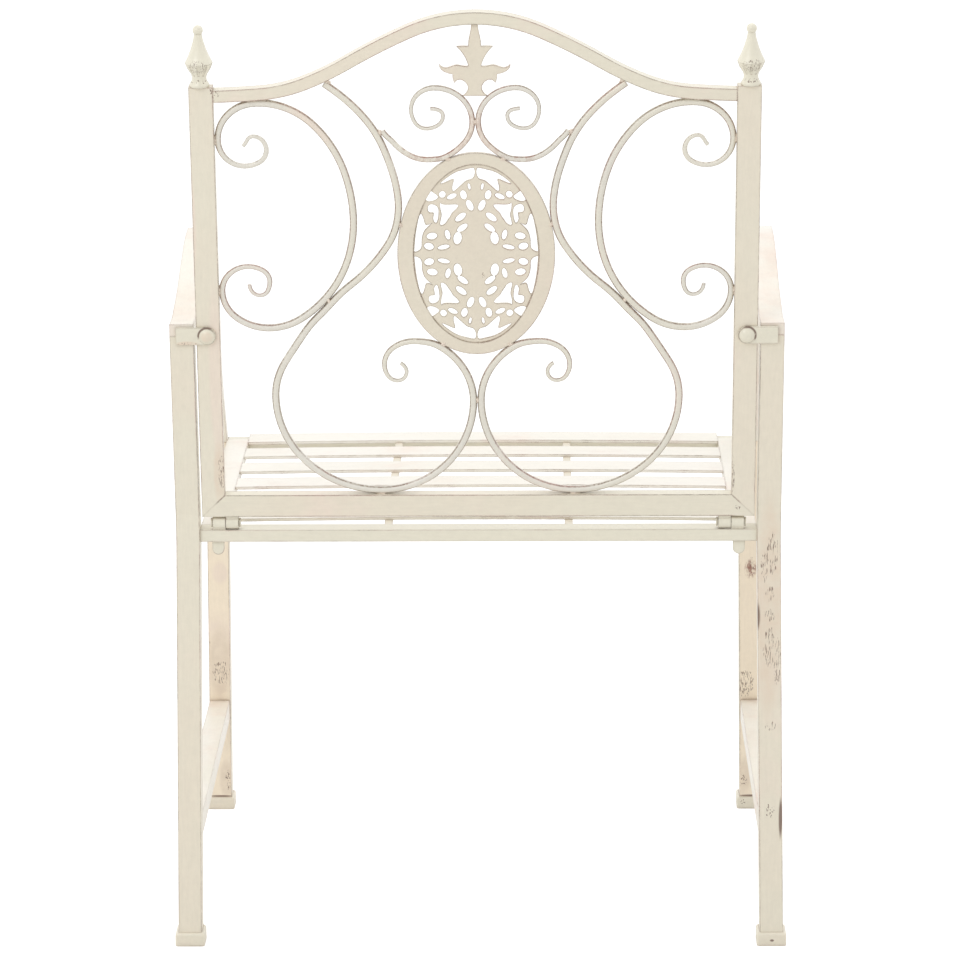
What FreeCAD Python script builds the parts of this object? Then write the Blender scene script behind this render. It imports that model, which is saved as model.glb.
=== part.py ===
import FreeCAD, Part, Sketcher
import os
from math import atan2, cos, degrees, hypot, pi, radians, sin, sqrt, tan

# A garden armchair of painted steel tube. The backrest carries forged scrolls round an oval medallion
# and folds forward on two hinges over a slatted seat.
# X runs across the chair, Y runs from the front to the back, Z runs up from the floor.
# The origin lies on the floor, under the middle of the whole chair.

vector = FreeCAD.Vector

# Driving sizes in millimetres and degrees
SIZES = {
    # side frames
    "frame_width": 606.0,
    "leg_size": 23.5,
    "tube_wall": 1.5,
    "floor_splay": 7.3,
    "seat_depth": 418.0,
    "front_foot_reach": 49.0,
    "back_lean": 7.0,
    # feet
    "foot_width": 30.0,
    "foot_height": 14.0,
    "foot_floor": 2.0,
    "foot_round": 3.0,
    # side stretchers
    "stretcher_level": 109.5,
    "stretcher_depth": 22.0,
    "stretcher_width": 22.0,
    # arms
    "arm_width": 23.5,
    "arm_rear_level": 657.0,
    "arm_crest_level": 707.0,
    "arm_crest_reach": 222.0,
    "arm_roll": 53.0,
    "arm_landing_slip": 7.0,
    "arm_front_hollow": 18.0,
    # seat
    "seat_level": 440.5,
    "flat_width": 23.4,
    "flat_depth": 12.0,
    "front_rail_drop": 3.0,
    "rear_rail_inset": 2.5,
    "slat_width": 38.0,
    "slat_thickness": 3.0,
    "slat_rear_gap": 21.5,
    "slat_crown": 2.0,
    "strap_width": 8.0,
    "strap_offset": 91.0,
    # hinges between the seat and the backrest
    "hinge_inset": 7.5,
    "hinge_lift": 7.0,
    "hinge_end_gap": 13.2,
    "knuckle_length": 12.8,
    "knuckle_radius": 6.5,
    "knuckle_gap": 0.4,
    "knuckle_foot": 8.0,
    "pin_radius": 3.0,
    "pin_clearance": 0.06,
    "pin_head_radius": 4.5,
    "pin_head_height": 1.5,
    "lug_end_gap": 12.2,
    "lug_width": 12.0,
    "lug_drop": 14.0,
    "lug_thickness": 3.0,
    # backrest frame, measured up from the hinge axis
    "back_side_gap": 3.0,
    "back_rail_lift": 8.2,
    "bottom_rail_width": 23.0,
    "upright_top": 453.0,
    "top_rail_depth": 12.0,
    "top_rail_corner": 449.8,
    "top_rail_apex": 526.6,
    # finials
    "finial_inset": 10.5,
    "finial_base_radius": 9.5,
    "finial_neck_radius": 7.0,
    "finial_bulb_radius": 13.5,
    "finial_ball_radius": 5.0,
    # scrolls
    "scroll_radius": 3.7,
    "curl_tip_radius": 1.9,
    "small_scroll_radius": 2.8,
    "weld_gap": 0.1,
    "scroll_end_drop": 2.5,
    # medallion, measured up from the top of the bottom rail
    "medallion_lift": 251.0,
    "medallion_half_width": 77.2,
    "medallion_half_height": 103.4,
    "ring_side": 15.7,
    "ring_end": 11.7,
    "ring_thickness": 4.0,
    "filigree_thickness": 2.0,
    "ornament_lift": 57.5,
    "ornament_thickness": 3.0,
    # straps that hold the backrest up, and their bolts
    "tab_reach": 17.2,
    "tab_height": 17.5,
    "tab_thickness": 3.0,
    "tab_gap": 0.3,
    "bolt_level": 200.3,
    "bolt_inset": 10.7,
    "bolt_radius": 3.0,
    "bolt_slip": 0.05,
    "bolt_head_radius": 8.2,
    "bolt_head_height": 4.5,
    "bolt_end_gap": 1.0,
    "upright_hole_radius": 4.2,
}

doc = FreeCAD.newDocument("garden_armchair")
sheet = doc.addObject("Spreadsheet::Sheet", "dims")
for row, (alias, value) in enumerate(SIZES.items(), 1):
    sheet.set(f"A{row}", alias)
    sheet.set(f"B{row}", str(value))
    sheet.setAlias(f"B{row}", alias)
doc.recompute()

NODES = []


def size(alias):
    """Value of one driving size, read from the sheet."""
    return float(getattr(sheet, alias))


def bind(item, formulas):
    """Tie properties of an object to formulas of the sheet's sizes."""
    for prop, formula in formulas.items():
        item.setExpression(prop, formula)
    return item


def node(item, label):
    """Register an object as one named piece of the chair."""
    item.Label = label
    NODES.append(item)
    return item


def mirrored(item, label):
    """The same piece on the other side of the chair."""
    twin = doc.addObject("Part::Mirroring", label)
    twin.Source = item
    twin.Normal = vector(1, 0, 0)
    twin.Base = vector(0, 0, 0)
    return node(twin, label)


def pair(item, name):
    """Name an object as the left piece and add its twin on the right."""
    node(item, name + "_left")
    mirrored(item, name + "_right")


# Places worked out from the driving sizes
frame_half = size("frame_width") / 2
inner_half = frame_half - size("leg_size")
lean = radians(size("back_lean"))
finial_neck_level = 12.0
finial_bulb_level = 23.5
finial_reach = (size("upright_top") + finial_bulb_level) * sin(lean) - size("hinge_inset")
rear_reach = finial_reach + size("finial_bulb_radius") * cos(lean)
foot_margin = (size("foot_width") - size("leg_size")) / 2
front_reach = size("seat_depth") + size("front_foot_reach") + foot_margin
# Y of the rear face of the rear legs, so that the chair is centred over the origin
rear_y = (front_reach - rear_reach) / 2
hinge_level = size("seat_level") + size("hinge_lift")
back_frame = FreeCAD.Placement(
    vector(0, rear_y - size("hinge_inset"), hinge_level),
    FreeCAD.Rotation(vector(1, 0, 0), -size("back_lean")),
)
upright_outer = inner_half - size("back_side_gap")
upright_inner = upright_outer - size("flat_width")
back_half_depth = size("flat_depth") / 2
# The rear legs lean back with the backrest from the level where their rear faces meet its plane
leg_face = (back_half_depth + size("tab_gap")) / cos(lean)
lean_bend_level = hinge_level + (size("hinge_inset") - leg_face) / tan(lean)
back_rail_top = size("back_rail_lift") + size("bottom_rail_width")


# Curves: a key is a place in the plane of a curve with the heading there in degrees
def heading_vector(angle):
    return vector(cos(radians(angle)), 0, sin(radians(angle)))


def biarc_joint(start, start_angle, end, end_angle):
    """Point and heading where two tangent arcs between two keys meet."""
    leave = heading_vector(start_angle)
    arrive = heading_vector(end_angle)
    chord = end - start
    both = leave + arrive
    spread = 2 * (1 - leave.dot(arrive))
    if spread < 1e-9:
        reach = chord.dot(chord) / (4 * chord.dot(arrive))
    else:
        reach = (sqrt(chord.dot(both) ** 2 + spread * chord.dot(chord)) - chord.dot(both)) / spread
    first = start + leave * reach
    last = end - arrive * reach
    return (first + last) * 0.5, degrees(atan2(last.z - first.z, last.x - first.x))


def smooth_path(keys):
    """Keys (x, z, heading, half width) with a joint added between each two, one arc apart."""
    stops = [(vector(x, 0, z), angle, half) for x, z, angle, half in keys]
    path = stops[:1]
    for before, after in zip(stops, stops[1:]):
        joint, angle = biarc_joint(before[0], before[1], after[0], after[1])
        path.append((joint, angle, (before[2] + after[2]) / 2))
        path.append(after)
    return path


def arc_edge(start, angle, end):
    """The arc that leaves start at a heading and reaches end, or a line where they agree."""
    chord = end - start
    turn = radians(angle) - atan2(chord.z, chord.x)
    turn = atan2(sin(turn), cos(turn))
    if abs(turn) < 1e-5:
        return Part.LineSegment(start, end).toShape()
    side = vector(-chord.z, 0, chord.x)
    middle = (start + end) * 0.5 + side * (0.5 * tan(turn / 2))
    return Part.Arc(start, middle, end).toShape()


def chain(stops):
    """Arcs through points with headings."""
    return [arc_edge(a[0], a[1], b[0]) for a, b in zip(stops, stops[1:])]


def rod(keys):
    """A round bar along a path, whose radius follows the half width of the keys."""
    path = smooth_path(keys)
    rings = [Part.Wire(Part.makeCircle(half_width, point, heading_vector(angle)))
             for point, angle, half_width in path]
    faces = [Part.Face(rings[0]), Part.Face(rings[-1])]
    for before, after, ring, next_ring in zip(path, path[1:], rings, rings[1:]):
        stretch = Part.Wire(arc_edge(before[0], before[1], after[0]))
        faces += stretch.makePipeShell([ring, next_ring], False, False).Faces
    skin = Part.makeShell(faces)
    skin.sewShape()
    return Part.Solid(skin)


def band(keys):
    """A flat face along a path, as wide as the keys say."""
    path = smooth_path(keys)
    sides = []
    for sign in (1, -1):
        stops = []
        for point, angle, half in path:
            across = heading_vector(angle + 90) * (sign * half)
            stops.append((point + across, angle))
        sides.append(stops)
    left, right = sides
    edges = chain(left) + chain(right)
    edges.append(Part.LineSegment(left[0][0], right[0][0]).toShape())
    edges.append(Part.LineSegment(left[-1][0], right[-1][0]).toShape())
    return Part.Face(Part.Wire(Part.__sortEdges__(edges)))


def shaped(label, shape, placement=None):
    """A piece whose shape is made from curves."""
    item = doc.addObject("Part::Feature", label)
    item.Shape = shape
    item.Placement = placement or FreeCAD.Placement()
    return item


def hollow(outer, inner, name):
    """A tube: one solid with a smaller one taken out of it."""
    tube = doc.addObject("Part::Cut", name)
    tube.Base = outer
    tube.Tool = inner
    return tube


def fused(items, name):
    whole = doc.addObject("Part::MultiFuse", name)
    whole.Shapes = items
    return whole


def block(name, corner, lengths):
    """A box from formulas for its lowest corner and its three lengths."""
    item = doc.addObject("Part::Box", name)
    formulas = {"Placement.Base." + axis: formula for axis, formula in zip("xyz", corner)}
    formulas.update(zip(("Length", "Width", "Height"), lengths))
    return bind(item, formulas)


def square_tube(name, corner, lengths, along):
    """A straight rectangular tube, open at both ends along one axis."""
    outer = block(name + "_outside", corner, lengths)
    wall = "dims.tube_wall"
    inner_corner = [c if axis == along else f"{c} + {wall}" for axis, c in zip("xyz", corner)]
    inner_lengths = [d if axis == along else f"{d} - 2 * {wall}" for axis, d in zip("xyz", lengths)]
    inner = block(name + "_inside", inner_corner, inner_lengths)
    return hollow(outer, inner, name)


def taper(name, base, top):
    """A bar between two level rectangles, each given as formulas x0, x1, y0, y1, z."""
    item = doc.addObject("Part::Wedge", name)
    item.Placement = FreeCAD.Placement(vector(0, 0, 0), FreeCAD.Rotation(vector(1, 0, 0), 90))
    x0, x1, y0, y1, z0 = base
    tx0, tx1, ty0, ty1, z1 = top
    return bind(item, {
        "Xmin": x0, "Xmax": x1, "Zmin": f"-({y1})", "Zmax": f"-({y0})", "Ymin": z0,
        "X2min": tx0, "X2max": tx1, "Z2min": f"-({ty1})", "Z2max": f"-({ty0})", "Ymax": z1,
    })


def inset(section, wall):
    """The same rectangle drawn in by a wall on all four sides."""
    x0, x1, y0, y1, z = section
    return f"{x0} + {wall}", f"{x1} - {wall}", f"{y0} + {wall}", f"{y1} - {wall}", z


# The rear face of the rear legs is the reference for every place along Y
derived_row = len(SIZES) + 1
sheet.set(f"A{derived_row}", "rear_face")
sheet.set(f"B{derived_row}", str(rear_y))
sheet.setAlias(f"B{derived_row}", "rear_face")
doc.recompute()

# Side frames
half = "dims.frame_width / 2"
bend = "(dims.seat_level - dims.flat_depth)"
front_top = "(dims.seat_level - dims.front_rail_drop)"
arm_floor = "(dims.arm_rear_level - dims.flat_depth)"
lean_bend = ("(dims.seat_level + dims.hinge_lift + (dims.hinge_inset - (dims.flat_depth / 2 + dims.tab_gap)"
             " / cos(dims.back_lean * 1deg)) / tan(dims.back_lean * 1deg))")
lean_shift = f"(({arm_floor} - {lean_bend}) * tan(dims.back_lean * 1deg))"
front_outer = "dims.rear_face - dims.seat_depth"


def leg_outer_x(level):
    """Outer face of a leg at a level under the bend, where the legs spread to the floor."""
    return f"({half} + dims.floor_splay * ({bend} - {level}) / {bend})"


def front_rear_y(level):
    """Rear face of the raked front leg at a level."""
    reach = f"dims.front_foot_reach * ({front_top} - {level}) / {front_top}"
    return f"({front_outer} + dims.leg_size - {reach})"


def rear_leg_section(level):
    outer = leg_outer_x(level)
    return f"{outer} - dims.leg_size", outer, "dims.rear_face - dims.leg_size", "dims.rear_face", level


def front_leg_section(level):
    outer = leg_outer_x(level)
    back = front_rear_y(level)
    return f"{outer} - dims.leg_size", outer, f"{back} - dims.leg_size", back, level


foot_level = "dims.foot_floor"
lower = rear_leg_section(foot_level)
middle = rear_leg_section(bend)
bent = middle[:4] + (lean_bend,)
upper = (middle[0], middle[1], f"dims.rear_face - dims.leg_size + {lean_shift}",
         f"dims.rear_face + {lean_shift}", arm_floor)
wall = "dims.tube_wall"


def leg_tube(name, sections):
    """A hollow leg through level sections, from the floor up."""
    outside = []
    inside = []
    for index, (base, top) in enumerate(zip(sections, sections[1:])):
        outside.append(taper(f"{name}_outside_{index}", base, top))
        inside.append(taper(f"{name}_inside_{index}", inset(base, wall), inset(top, wall)))
    if len(outside) > 1:
        outside = [fused(outside, name + "_outside")]
        inside = [fused(inside, name + "_inside")]
    return hollow(outside[0], inside[0], name), outside[0]


rear_leg, rear_leg_solid = leg_tube("rear_leg", [lower, middle, bent, upper])
pair(rear_leg, "rear_leg")
front_sections = [front_leg_section(foot_level), front_leg_section(front_top)]
front_leg, front_leg_solid = leg_tube("front_leg", front_sections)
pair(front_leg, "front_leg")


def foot(name, leg_solid, section):
    """A flared cap that the end of a leg stands in."""
    x0, x1, y0, y1, _ = section
    margin = "(dims.foot_width - dims.leg_size) / 2"
    cap = block(name + "_block", (f"{x0} - {margin}", f"{y0} - {margin}", "0"),
                ("dims.foot_width", "dims.foot_width", "dims.foot_height"))
    doc.recompute()
    rounded = doc.addObject("Part::Fillet", name + "_round")
    rounded.Base = cap
    radius = size("foot_round")
    edges = []
    for number, edge in enumerate(cap.Shape.Edges, 1):
        if edge.BoundBox.ZMax > size("foot_floor"):
            edges.append((number, radius, radius))
    rounded.Edges = edges
    return hollow(rounded, leg_solid, name)


pair(foot("rear_foot", rear_leg_solid, lower), "rear_foot")
pair(foot("front_foot", front_leg_solid, front_sections[0]), "front_foot")


def stretcher_section(level, margin):
    middle_x = f"({leg_outer_x('dims.stretcher_level')} - dims.leg_size / 2)"
    width_half = "dims.stretcher_width / 2"
    return (f"{middle_x} - {width_half} + {margin}", f"{middle_x} + {width_half} - {margin}",
            front_rear_y(level), "dims.rear_face - dims.leg_size", level)


stretcher_foot = "dims.stretcher_level"
stretcher_head = "(dims.stretcher_level + dims.stretcher_depth)"
stretcher = hollow(
    taper("stretcher_outside", stretcher_section(stretcher_foot, "0"),
          stretcher_section(stretcher_head, "0")),
    taper("stretcher_inside", stretcher_section(f"({stretcher_foot} + {wall})", wall),
          stretcher_section(f"({stretcher_head} - {wall})", wall)),
    "side_stretcher",
)
pair(stretcher, "side_stretcher")


# Arms: one flat tube from the top of the rear leg over the crest and down to the front leg.
# Their path is drawn with the distance in front of the rear legs across and the level up.
def arm_band(half_depth, rear_trim):
    base = size("arm_rear_level") - size("flat_depth") / 2
    crest = size("arm_crest_level") - size("flat_depth") / 2
    leg_lean = (base - size("flat_depth") / 2 - lean_bend_level) * tan(lean)
    roll_out = size("arm_crest_reach") + size("arm_roll")
    reach = size("arm_crest_reach")
    rise = crest - base
    roll_end = crest - size("arm_roll")
    landing = size("seat_level") - size("front_rail_drop")
    landing_reach = size("seat_depth") - size("leg_size") + size("arm_landing_slip")
    tail = heading_vector(-52) * (1.5 * size("flat_depth"))
    hollow_depth = size("arm_front_hollow")
    keys = [
        (-leg_lean + rear_trim, base, 0, half_depth),
        (size("leg_size") - leg_lean, base, 0, half_depth),
        (0.2 * reach, base + 0.15 * rise, 11, half_depth),
        (0.72 * reach, crest - 0.15 * rise, 16, half_depth),
        (reach, crest, 0, half_depth),
        (roll_out, roll_end, -90, half_depth),
        ((roll_out + landing_reach) / 2, (roll_end + landing) / 2 - hollow_depth, -60, half_depth),
        (landing_reach, landing, -52, half_depth),
        (landing_reach + tail.x, landing + tail.z, -52, half_depth),
    ]
    return band(keys)


def arm_shape():
    """The arm, bent from flat tube, cut level where it lands on the front leg."""
    depth = size("flat_depth") / 2
    thin = size("tube_wall")
    outer = arm_band(depth, 0).extrude(vector(0, size("arm_width"), 0))
    inner = arm_band(depth - thin, thin).extrude(vector(0, size("arm_width") - 2 * thin, 0))
    inner.translate(vector(0, thin, 0))
    below = Part.makeBox(size("seat_depth") * 2, size("arm_width"), size("seat_level"))
    below.translate(vector(0, 0, -size("front_rail_drop")))
    return outer.cut(inner).cut(below)


arm_frame = FreeCAD.Placement(
    vector(inner_half, rear_y, 0), FreeCAD.Rotation(vector(0, 0, 1), -90))
pair(shaped("arm", arm_shape(), arm_frame), "arm")

# Seat
inner_x = f"({half} - dims.leg_size)"
rail_front_y = "dims.rear_face - dims.rear_rail_inset - dims.flat_width"
side_rail_y = f"({front_outer} + dims.flat_width)"
rear_rail = square_tube("seat_rear_rail", (f"-{inner_x}", rail_front_y, bend),
                        (f"2 * {inner_x}", "dims.flat_width", "dims.flat_depth"), "x")
node(rear_rail, "seat_rear_rail")
front_rail = square_tube("seat_front_rail", (f"-{inner_x}", front_outer, f"{bend} - dims.front_rail_drop"),
                         (f"2 * {inner_x}", "dims.flat_width", "dims.flat_depth"), "x")
node(front_rail, "seat_front_rail")
side_rail = square_tube("seat_side_rail", (f"{inner_x} - dims.flat_width", side_rail_y, bend),
                        ("dims.flat_width", f"({rail_front_y}) - {side_rail_y}", "dims.flat_depth"), "y")
pair(side_rail, "seat_side_rail")


def body_sketch(label, role):
    """A body with an empty sketch on one of its own origin planes."""
    body = doc.addObject("PartDesign::Body", label)
    sketch = body.newObject("Sketcher::SketchObject", label + "_sketch")
    plane = [part for part in body.Origin.OriginFeatures if part.Role == role][0]
    sketch.AttachmentSupport = (plane, "")
    sketch.MapMode = "FlatFace"
    return body, sketch


def rule(sketch, kind, *items, name=None, formula=None):
    """A constraint of a sketch, tied to a formula where it has one."""
    index = sketch.addConstraint(Sketcher.Constraint(kind, *items))
    if name:
        sketch.renameConstraint(index, name)
        sketch.setExpression("Constraints." + name, formula)


def pad(body, sketch, length, both_ways=False):
    item = body.newObject("PartDesign::Pad", body.Label + "_pad")
    item.Profile = sketch
    item.setExpression("Length", length)
    item.Midplane = both_ways
    body.Tip = item
    return item


slat_half = f"({inner_x} - dims.flat_width)"
slat_half_now = inner_half - size("flat_width")


def slat(label, front_y):
    """A bowed strip across the seat, its ends against the side rails and level with them."""
    body, sketch = body_sketch(label, "XZ_Plane")
    crown = size("slat_crown")
    thick = size("slat_thickness")
    bow = (slat_half_now ** 2 + crown ** 2) / (2 * crown)
    swing = atan2(slat_half_now, bow - crown)
    left, right, down = vector(-slat_half_now, 0, 0), vector(slat_half_now, 0, 0), vector(0, -thick, 0)
    for drop in (vector(0, 0, 0), down):
        circle = Part.Circle(vector(0, crown - bow, 0) + drop, vector(0, 0, 1), bow)
        sketch.addGeometry(Part.ArcOfCircle(circle, pi / 2 - swing, pi / 2 + swing))
    sketch.addGeometry(Part.LineSegment(left, left + down))
    sketch.addGeometry(Part.LineSegment(right, right + down))
    rule(sketch, "Coincident", 0, 2, 2, 1)
    rule(sketch, "Coincident", 0, 1, 3, 1)
    rule(sketch, "Coincident", 1, 2, 2, 2)
    rule(sketch, "Coincident", 1, 1, 3, 2)
    rule(sketch, "Vertical", 2)
    rule(sketch, "Vertical", 3)
    rule(sketch, "PointOnObject", 2, 1, -1)
    rule(sketch, "Symmetric", 0, 2, 0, 1, -2)
    rule(sketch, "DistanceX", 2, 1, 3, 1, 2 * slat_half_now, name="across", formula=f"2 * {slat_half}")
    rule(sketch, "DistanceY", 2, 2, 2, 1, thick, name="thick", formula="dims.slat_thickness")
    rule(sketch, "Equal", 2, 3)
    rule(sketch, "Equal", 0, 1)
    bow_formula = f"({slat_half} ^ 2 + dims.slat_crown ^ 2) / (2 * dims.slat_crown)"
    rule(sketch, "Radius", 0, bow, name="bow", formula=bow_formula)
    pad(body, sketch, "dims.slat_width")
    # The pad grows towards the front, so the body stands at the rear edge of the slat
    bind(body, {"Placement.Base.y": f"{front_y} + dims.slat_width", "Placement.Base.z": "dims.seat_level"})
    return body


SLATS = 6
slat_run = "(dims.seat_depth - dims.rear_rail_inset - dims.flat_width - dims.slat_rear_gap - dims.slat_width)"
for index in range(SLATS):
    label = f"seat_slat_{index + 1}"
    node(slat(label, f"{front_outer} + {slat_run} * {index} / {SLATS - 1}"), label)

# The two straps under the slats touch them where the slats have bowed up
strap_edge = "(dims.strap_offset + dims.strap_width / 2)"
strap_rise = f"dims.slat_crown * (1 - ({strap_edge} / {slat_half}) ^ 2)"
strap_top = f"(dims.seat_level - dims.slat_thickness + {strap_rise})"
strap_corner = ("dims.strap_offset - dims.strap_width / 2", side_rail_y, f"{strap_top} - dims.slat_thickness")
strap = block("under_strap", strap_corner,
              ("dims.strap_width", f"({rail_front_y}) - {side_rail_y}", "dims.slat_thickness"))
pair(strap, "under_strap")


# Hinges
def knuckle(name, start, foot_up):
    """A hinge knuckle: a barrel on a foot that reaches its rail."""
    barrel = doc.addObject("Part::Cylinder", name + "_barrel")
    barrel.Placement = FreeCAD.Placement(vector(0, 0, 0), FreeCAD.Rotation(vector(0, 1, 0), 90))
    bind(barrel, {"Radius": "dims.knuckle_radius", "Height": "dims.knuckle_length",
                  "Placement.Base.x": start})
    reach = "dims.back_rail_lift" if foot_up else "dims.hinge_lift"
    foot_base = "0" if foot_up else f"-{reach}"
    leg = block(name + "_foot", (start, "-dims.knuckle_foot / 2", foot_base),
                ("dims.knuckle_length", "dims.knuckle_foot", reach))
    bore = doc.addObject("Part::Cylinder", name + "_bore")
    bore.Placement = FreeCAD.Placement(vector(0, 0, 0), FreeCAD.Rotation(vector(0, 1, 0), 90))
    bind(bore, {"Radius": "dims.pin_radius + dims.pin_clearance", "Height": "dims.knuckle_length",
                "Placement.Base.x": start})
    return hollow(fused([barrel, leg], name + "_solid"), bore, name)


outer_start = f"({inner_x} - dims.hinge_end_gap - dims.knuckle_length)"
inner_start = f"({outer_start} - dims.knuckle_gap - dims.knuckle_length)"
hinge_frame = FreeCAD.Placement(back_frame.Base, FreeCAD.Rotation())
seat_knuckle = knuckle("hinge_seat_knuckle", outer_start, False)
seat_knuckle.Placement = hinge_frame
pair(seat_knuckle, "hinge_seat_knuckle")
back_knuckle = knuckle("hinge_back_knuckle", inner_start, True)
back_knuckle.Placement = back_frame
pair(back_knuckle, "hinge_back_knuckle")


def round_bar(name, radius, length, x):
    """A cylinder along the hinge axis."""
    item = doc.addObject("Part::Cylinder", name)
    item.Placement = FreeCAD.Placement(vector(0, 0, 0), FreeCAD.Rotation(vector(0, 1, 0), 90))
    return bind(item, {"Radius": radius, "Height": length, "Placement.Base.x": x})


pin_play = "dims.knuckle_gap"
pin_start = f"({inner_start} - {pin_play})"
pin_length = f"(2 * dims.knuckle_length + dims.knuckle_gap + 2 * {pin_play})"
pin = fused([
    round_bar("pin_shank", "dims.pin_radius", pin_length, pin_start),
    round_bar("pin_inner_head", "dims.pin_head_radius", "dims.pin_head_height",
              f"{pin_start} - dims.pin_head_height"),
    round_bar("pin_outer_head", "dims.pin_head_radius", "dims.pin_head_height",
              f"{pin_start} + {pin_length}"),
], "hinge_pin")
pin.Placement = hinge_frame
pair(pin, "hinge_pin")

# Tail of each hinge leaf, hanging under the rear rail
lug, lug_sketch = body_sketch("hinge_lug", "XZ_Plane")
lug_half = size("lug_width") / 2
lug_straight = size("lug_drop") - lug_half
lug_sketch.addGeometry(Part.LineSegment(vector(-lug_half, 0, 0), vector(lug_half, 0, 0)))
lug_sketch.addGeometry(Part.LineSegment(vector(-lug_half, 0, 0), vector(-lug_half, -lug_straight, 0)))
lug_sketch.addGeometry(Part.LineSegment(vector(lug_half, 0, 0), vector(lug_half, -lug_straight, 0)))
lug_sketch.addGeometry(Part.ArcOfCircle(
    Part.Circle(vector(0, -lug_straight, 0), vector(0, 0, 1), lug_half), pi, 2 * pi))
rule(lug_sketch, "Coincident", 0, 1, 1, 1)
rule(lug_sketch, "Coincident", 0, 2, 2, 1)
rule(lug_sketch, "Coincident", 3, 1, 1, 2)
rule(lug_sketch, "Coincident", 3, 2, 2, 2)
rule(lug_sketch, "Symmetric", 0, 1, 0, 2, -2)
rule(lug_sketch, "PointOnObject", 0, 1, -1)
rule(lug_sketch, "Vertical", 1)
rule(lug_sketch, "Vertical", 2)
rule(lug_sketch, "Symmetric", 3, 1, 3, 2, 3, 3)
rule(lug_sketch, "DistanceX", 0, 1, 0, 2, 2 * lug_half, name="across", formula="dims.lug_width")
rule(lug_sketch, "DistanceY", 1, 2, 1, 1, lug_straight, name="straight",
     formula="dims.lug_drop - dims.lug_width / 2")
pad(lug, lug_sketch, "dims.lug_thickness")
bind(lug, {
    "Placement.Base.x": f"{inner_x} - dims.lug_end_gap - dims.lug_width / 2",
    "Placement.Base.y": "dims.rear_face - dims.rear_rail_inset - dims.lug_thickness",
    "Placement.Base.z": bend,
})
pair(lug, "hinge_lug")

# Backrest frame, built upright in its own frame: X across, Y through it, Z up from the hinge axis
outer_x = f"({inner_x} - dims.back_side_gap)"
upright_x = f"({outer_x} - dims.flat_width)"
deep = "dims.flat_depth / 2"
rail_low = "dims.back_rail_lift"
rail_high = "(dims.back_rail_lift + dims.bottom_rail_width)"


def mitred(name, draw_in):
    """The rail or its hollow: a bar whose ends are cut at 45 degrees."""
    low = f"({rail_low} + {draw_in})"
    high = f"({rail_high} - {draw_in})"
    low_x = f"({outer_x} - {draw_in})"
    high_x = f"({upright_x} + {draw_in})"
    return taper(name, (f"-{low_x}", low_x, f"-{deep} + {draw_in}", f"{deep} - {draw_in}", low),
                 (f"-{high_x}", high_x, f"-{deep} + {draw_in}", f"{deep} - {draw_in}", high))


def back_piece(item):
    """Lean a piece of the backrest back about the hinge axis."""
    item.Placement = back_frame
    return item


bottom_rail = hollow(mitred("back_bottom_rail_outside", "0"), mitred("back_bottom_rail_inside", wall),
                     "back_bottom_rail")
node(back_piece(bottom_rail), "back_bottom_rail")


def upright_bar(name, draw_in, top):
    """An upright or its hollow, its foot mitred to meet the bottom rail."""
    item = doc.addObject("Part::Wedge", name)
    item.Placement = FreeCAD.Placement(vector(0, 0, 0), FreeCAD.Rotation(vector(0, 0, 1), -90))
    return bind(item, {
        "Ymin": f"{upright_x} + {draw_in}", "Ymax": f"{outer_x} - {draw_in}",
        "Xmin": f"-{deep} + {draw_in}", "Xmax": f"{deep} - {draw_in}",
        "X2min": f"-{deep} + {draw_in}", "X2max": f"{deep} - {draw_in}",
        "Zmin": f"{rail_high} - {draw_in}", "Zmax": top,
        "Z2min": f"{rail_low} + {draw_in}", "Z2max": top,
    })


def tilted_cylinder(name, radius, length, x, y, z):
    """A cylinder that runs towards the front of the chair from a point."""
    item = doc.addObject("Part::Cylinder", name)
    item.Placement = FreeCAD.Placement(vector(0, 0, 0), FreeCAD.Rotation(vector(1, 0, 0), 90))
    return bind(item, {"Radius": radius, "Height": length, "Placement.Base.x": x,
                       "Placement.Base.y": y, "Placement.Base.z": z})


bolt_x = f"({outer_x} - dims.bolt_inset)"
upright_tube = hollow(upright_bar("back_upright_outside", "0", "dims.upright_top"),
                      upright_bar("back_upright_inside", wall, f"dims.upright_top - {wall}"),
                      "back_upright_tube")
bolt_hole = tilted_cylinder("back_upright_bolt_hole", "dims.upright_hole_radius", "dims.flat_depth",
                            bolt_x, deep, "dims.bolt_level")
pair(back_piece(hollow(upright_tube, bolt_hole, "back_upright")), "back_upright")

# The bowed top rail: nearly level at the uprights, with a rounded rise to the middle
rail_half = size("top_rail_depth") / 2
rail_middle_apex = size("top_rail_apex") - rail_half
rail_middle_corner = size("top_rail_corner") - rail_half
rail_under = rail_middle_corner - rail_half

# The scrollwork is drawn for a backrest this wide and this high inside its frame, whose top rail rises
# this far to the middle. The drawing stretches with the real frame.
DRAWN_HALF_WIDTH = 252.0
DRAWN_HEIGHT = 406.6
DRAWN_RAIL_RISE = 76.8
wide = upright_inner / DRAWN_HALF_WIDTH
tall = (rail_under - back_rail_top) / DRAWN_HEIGHT
steep = (rail_middle_apex - rail_middle_corner) / DRAWN_RAIL_RISE


def turned_heading(angle, across, upwards):
    """A heading of the drawing after it has stretched."""
    return degrees(atan2(sin(radians(angle)) * upwards, cos(radians(angle)) * across))


def drawn(x, z, angle, radius):
    """A key drawn from the middle of the chair and the top of the bottom rail."""
    return x * wide, back_rail_top + z * tall, turned_heading(angle, wide, tall), radius


def rail_key(x, z, angle):
    """A key of the top rail, drawn from the middle of the chair and the rail's ends."""
    return x * wide, rail_middle_corner + z * steep, turned_heading(angle, wide, steep), rail_half


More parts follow.
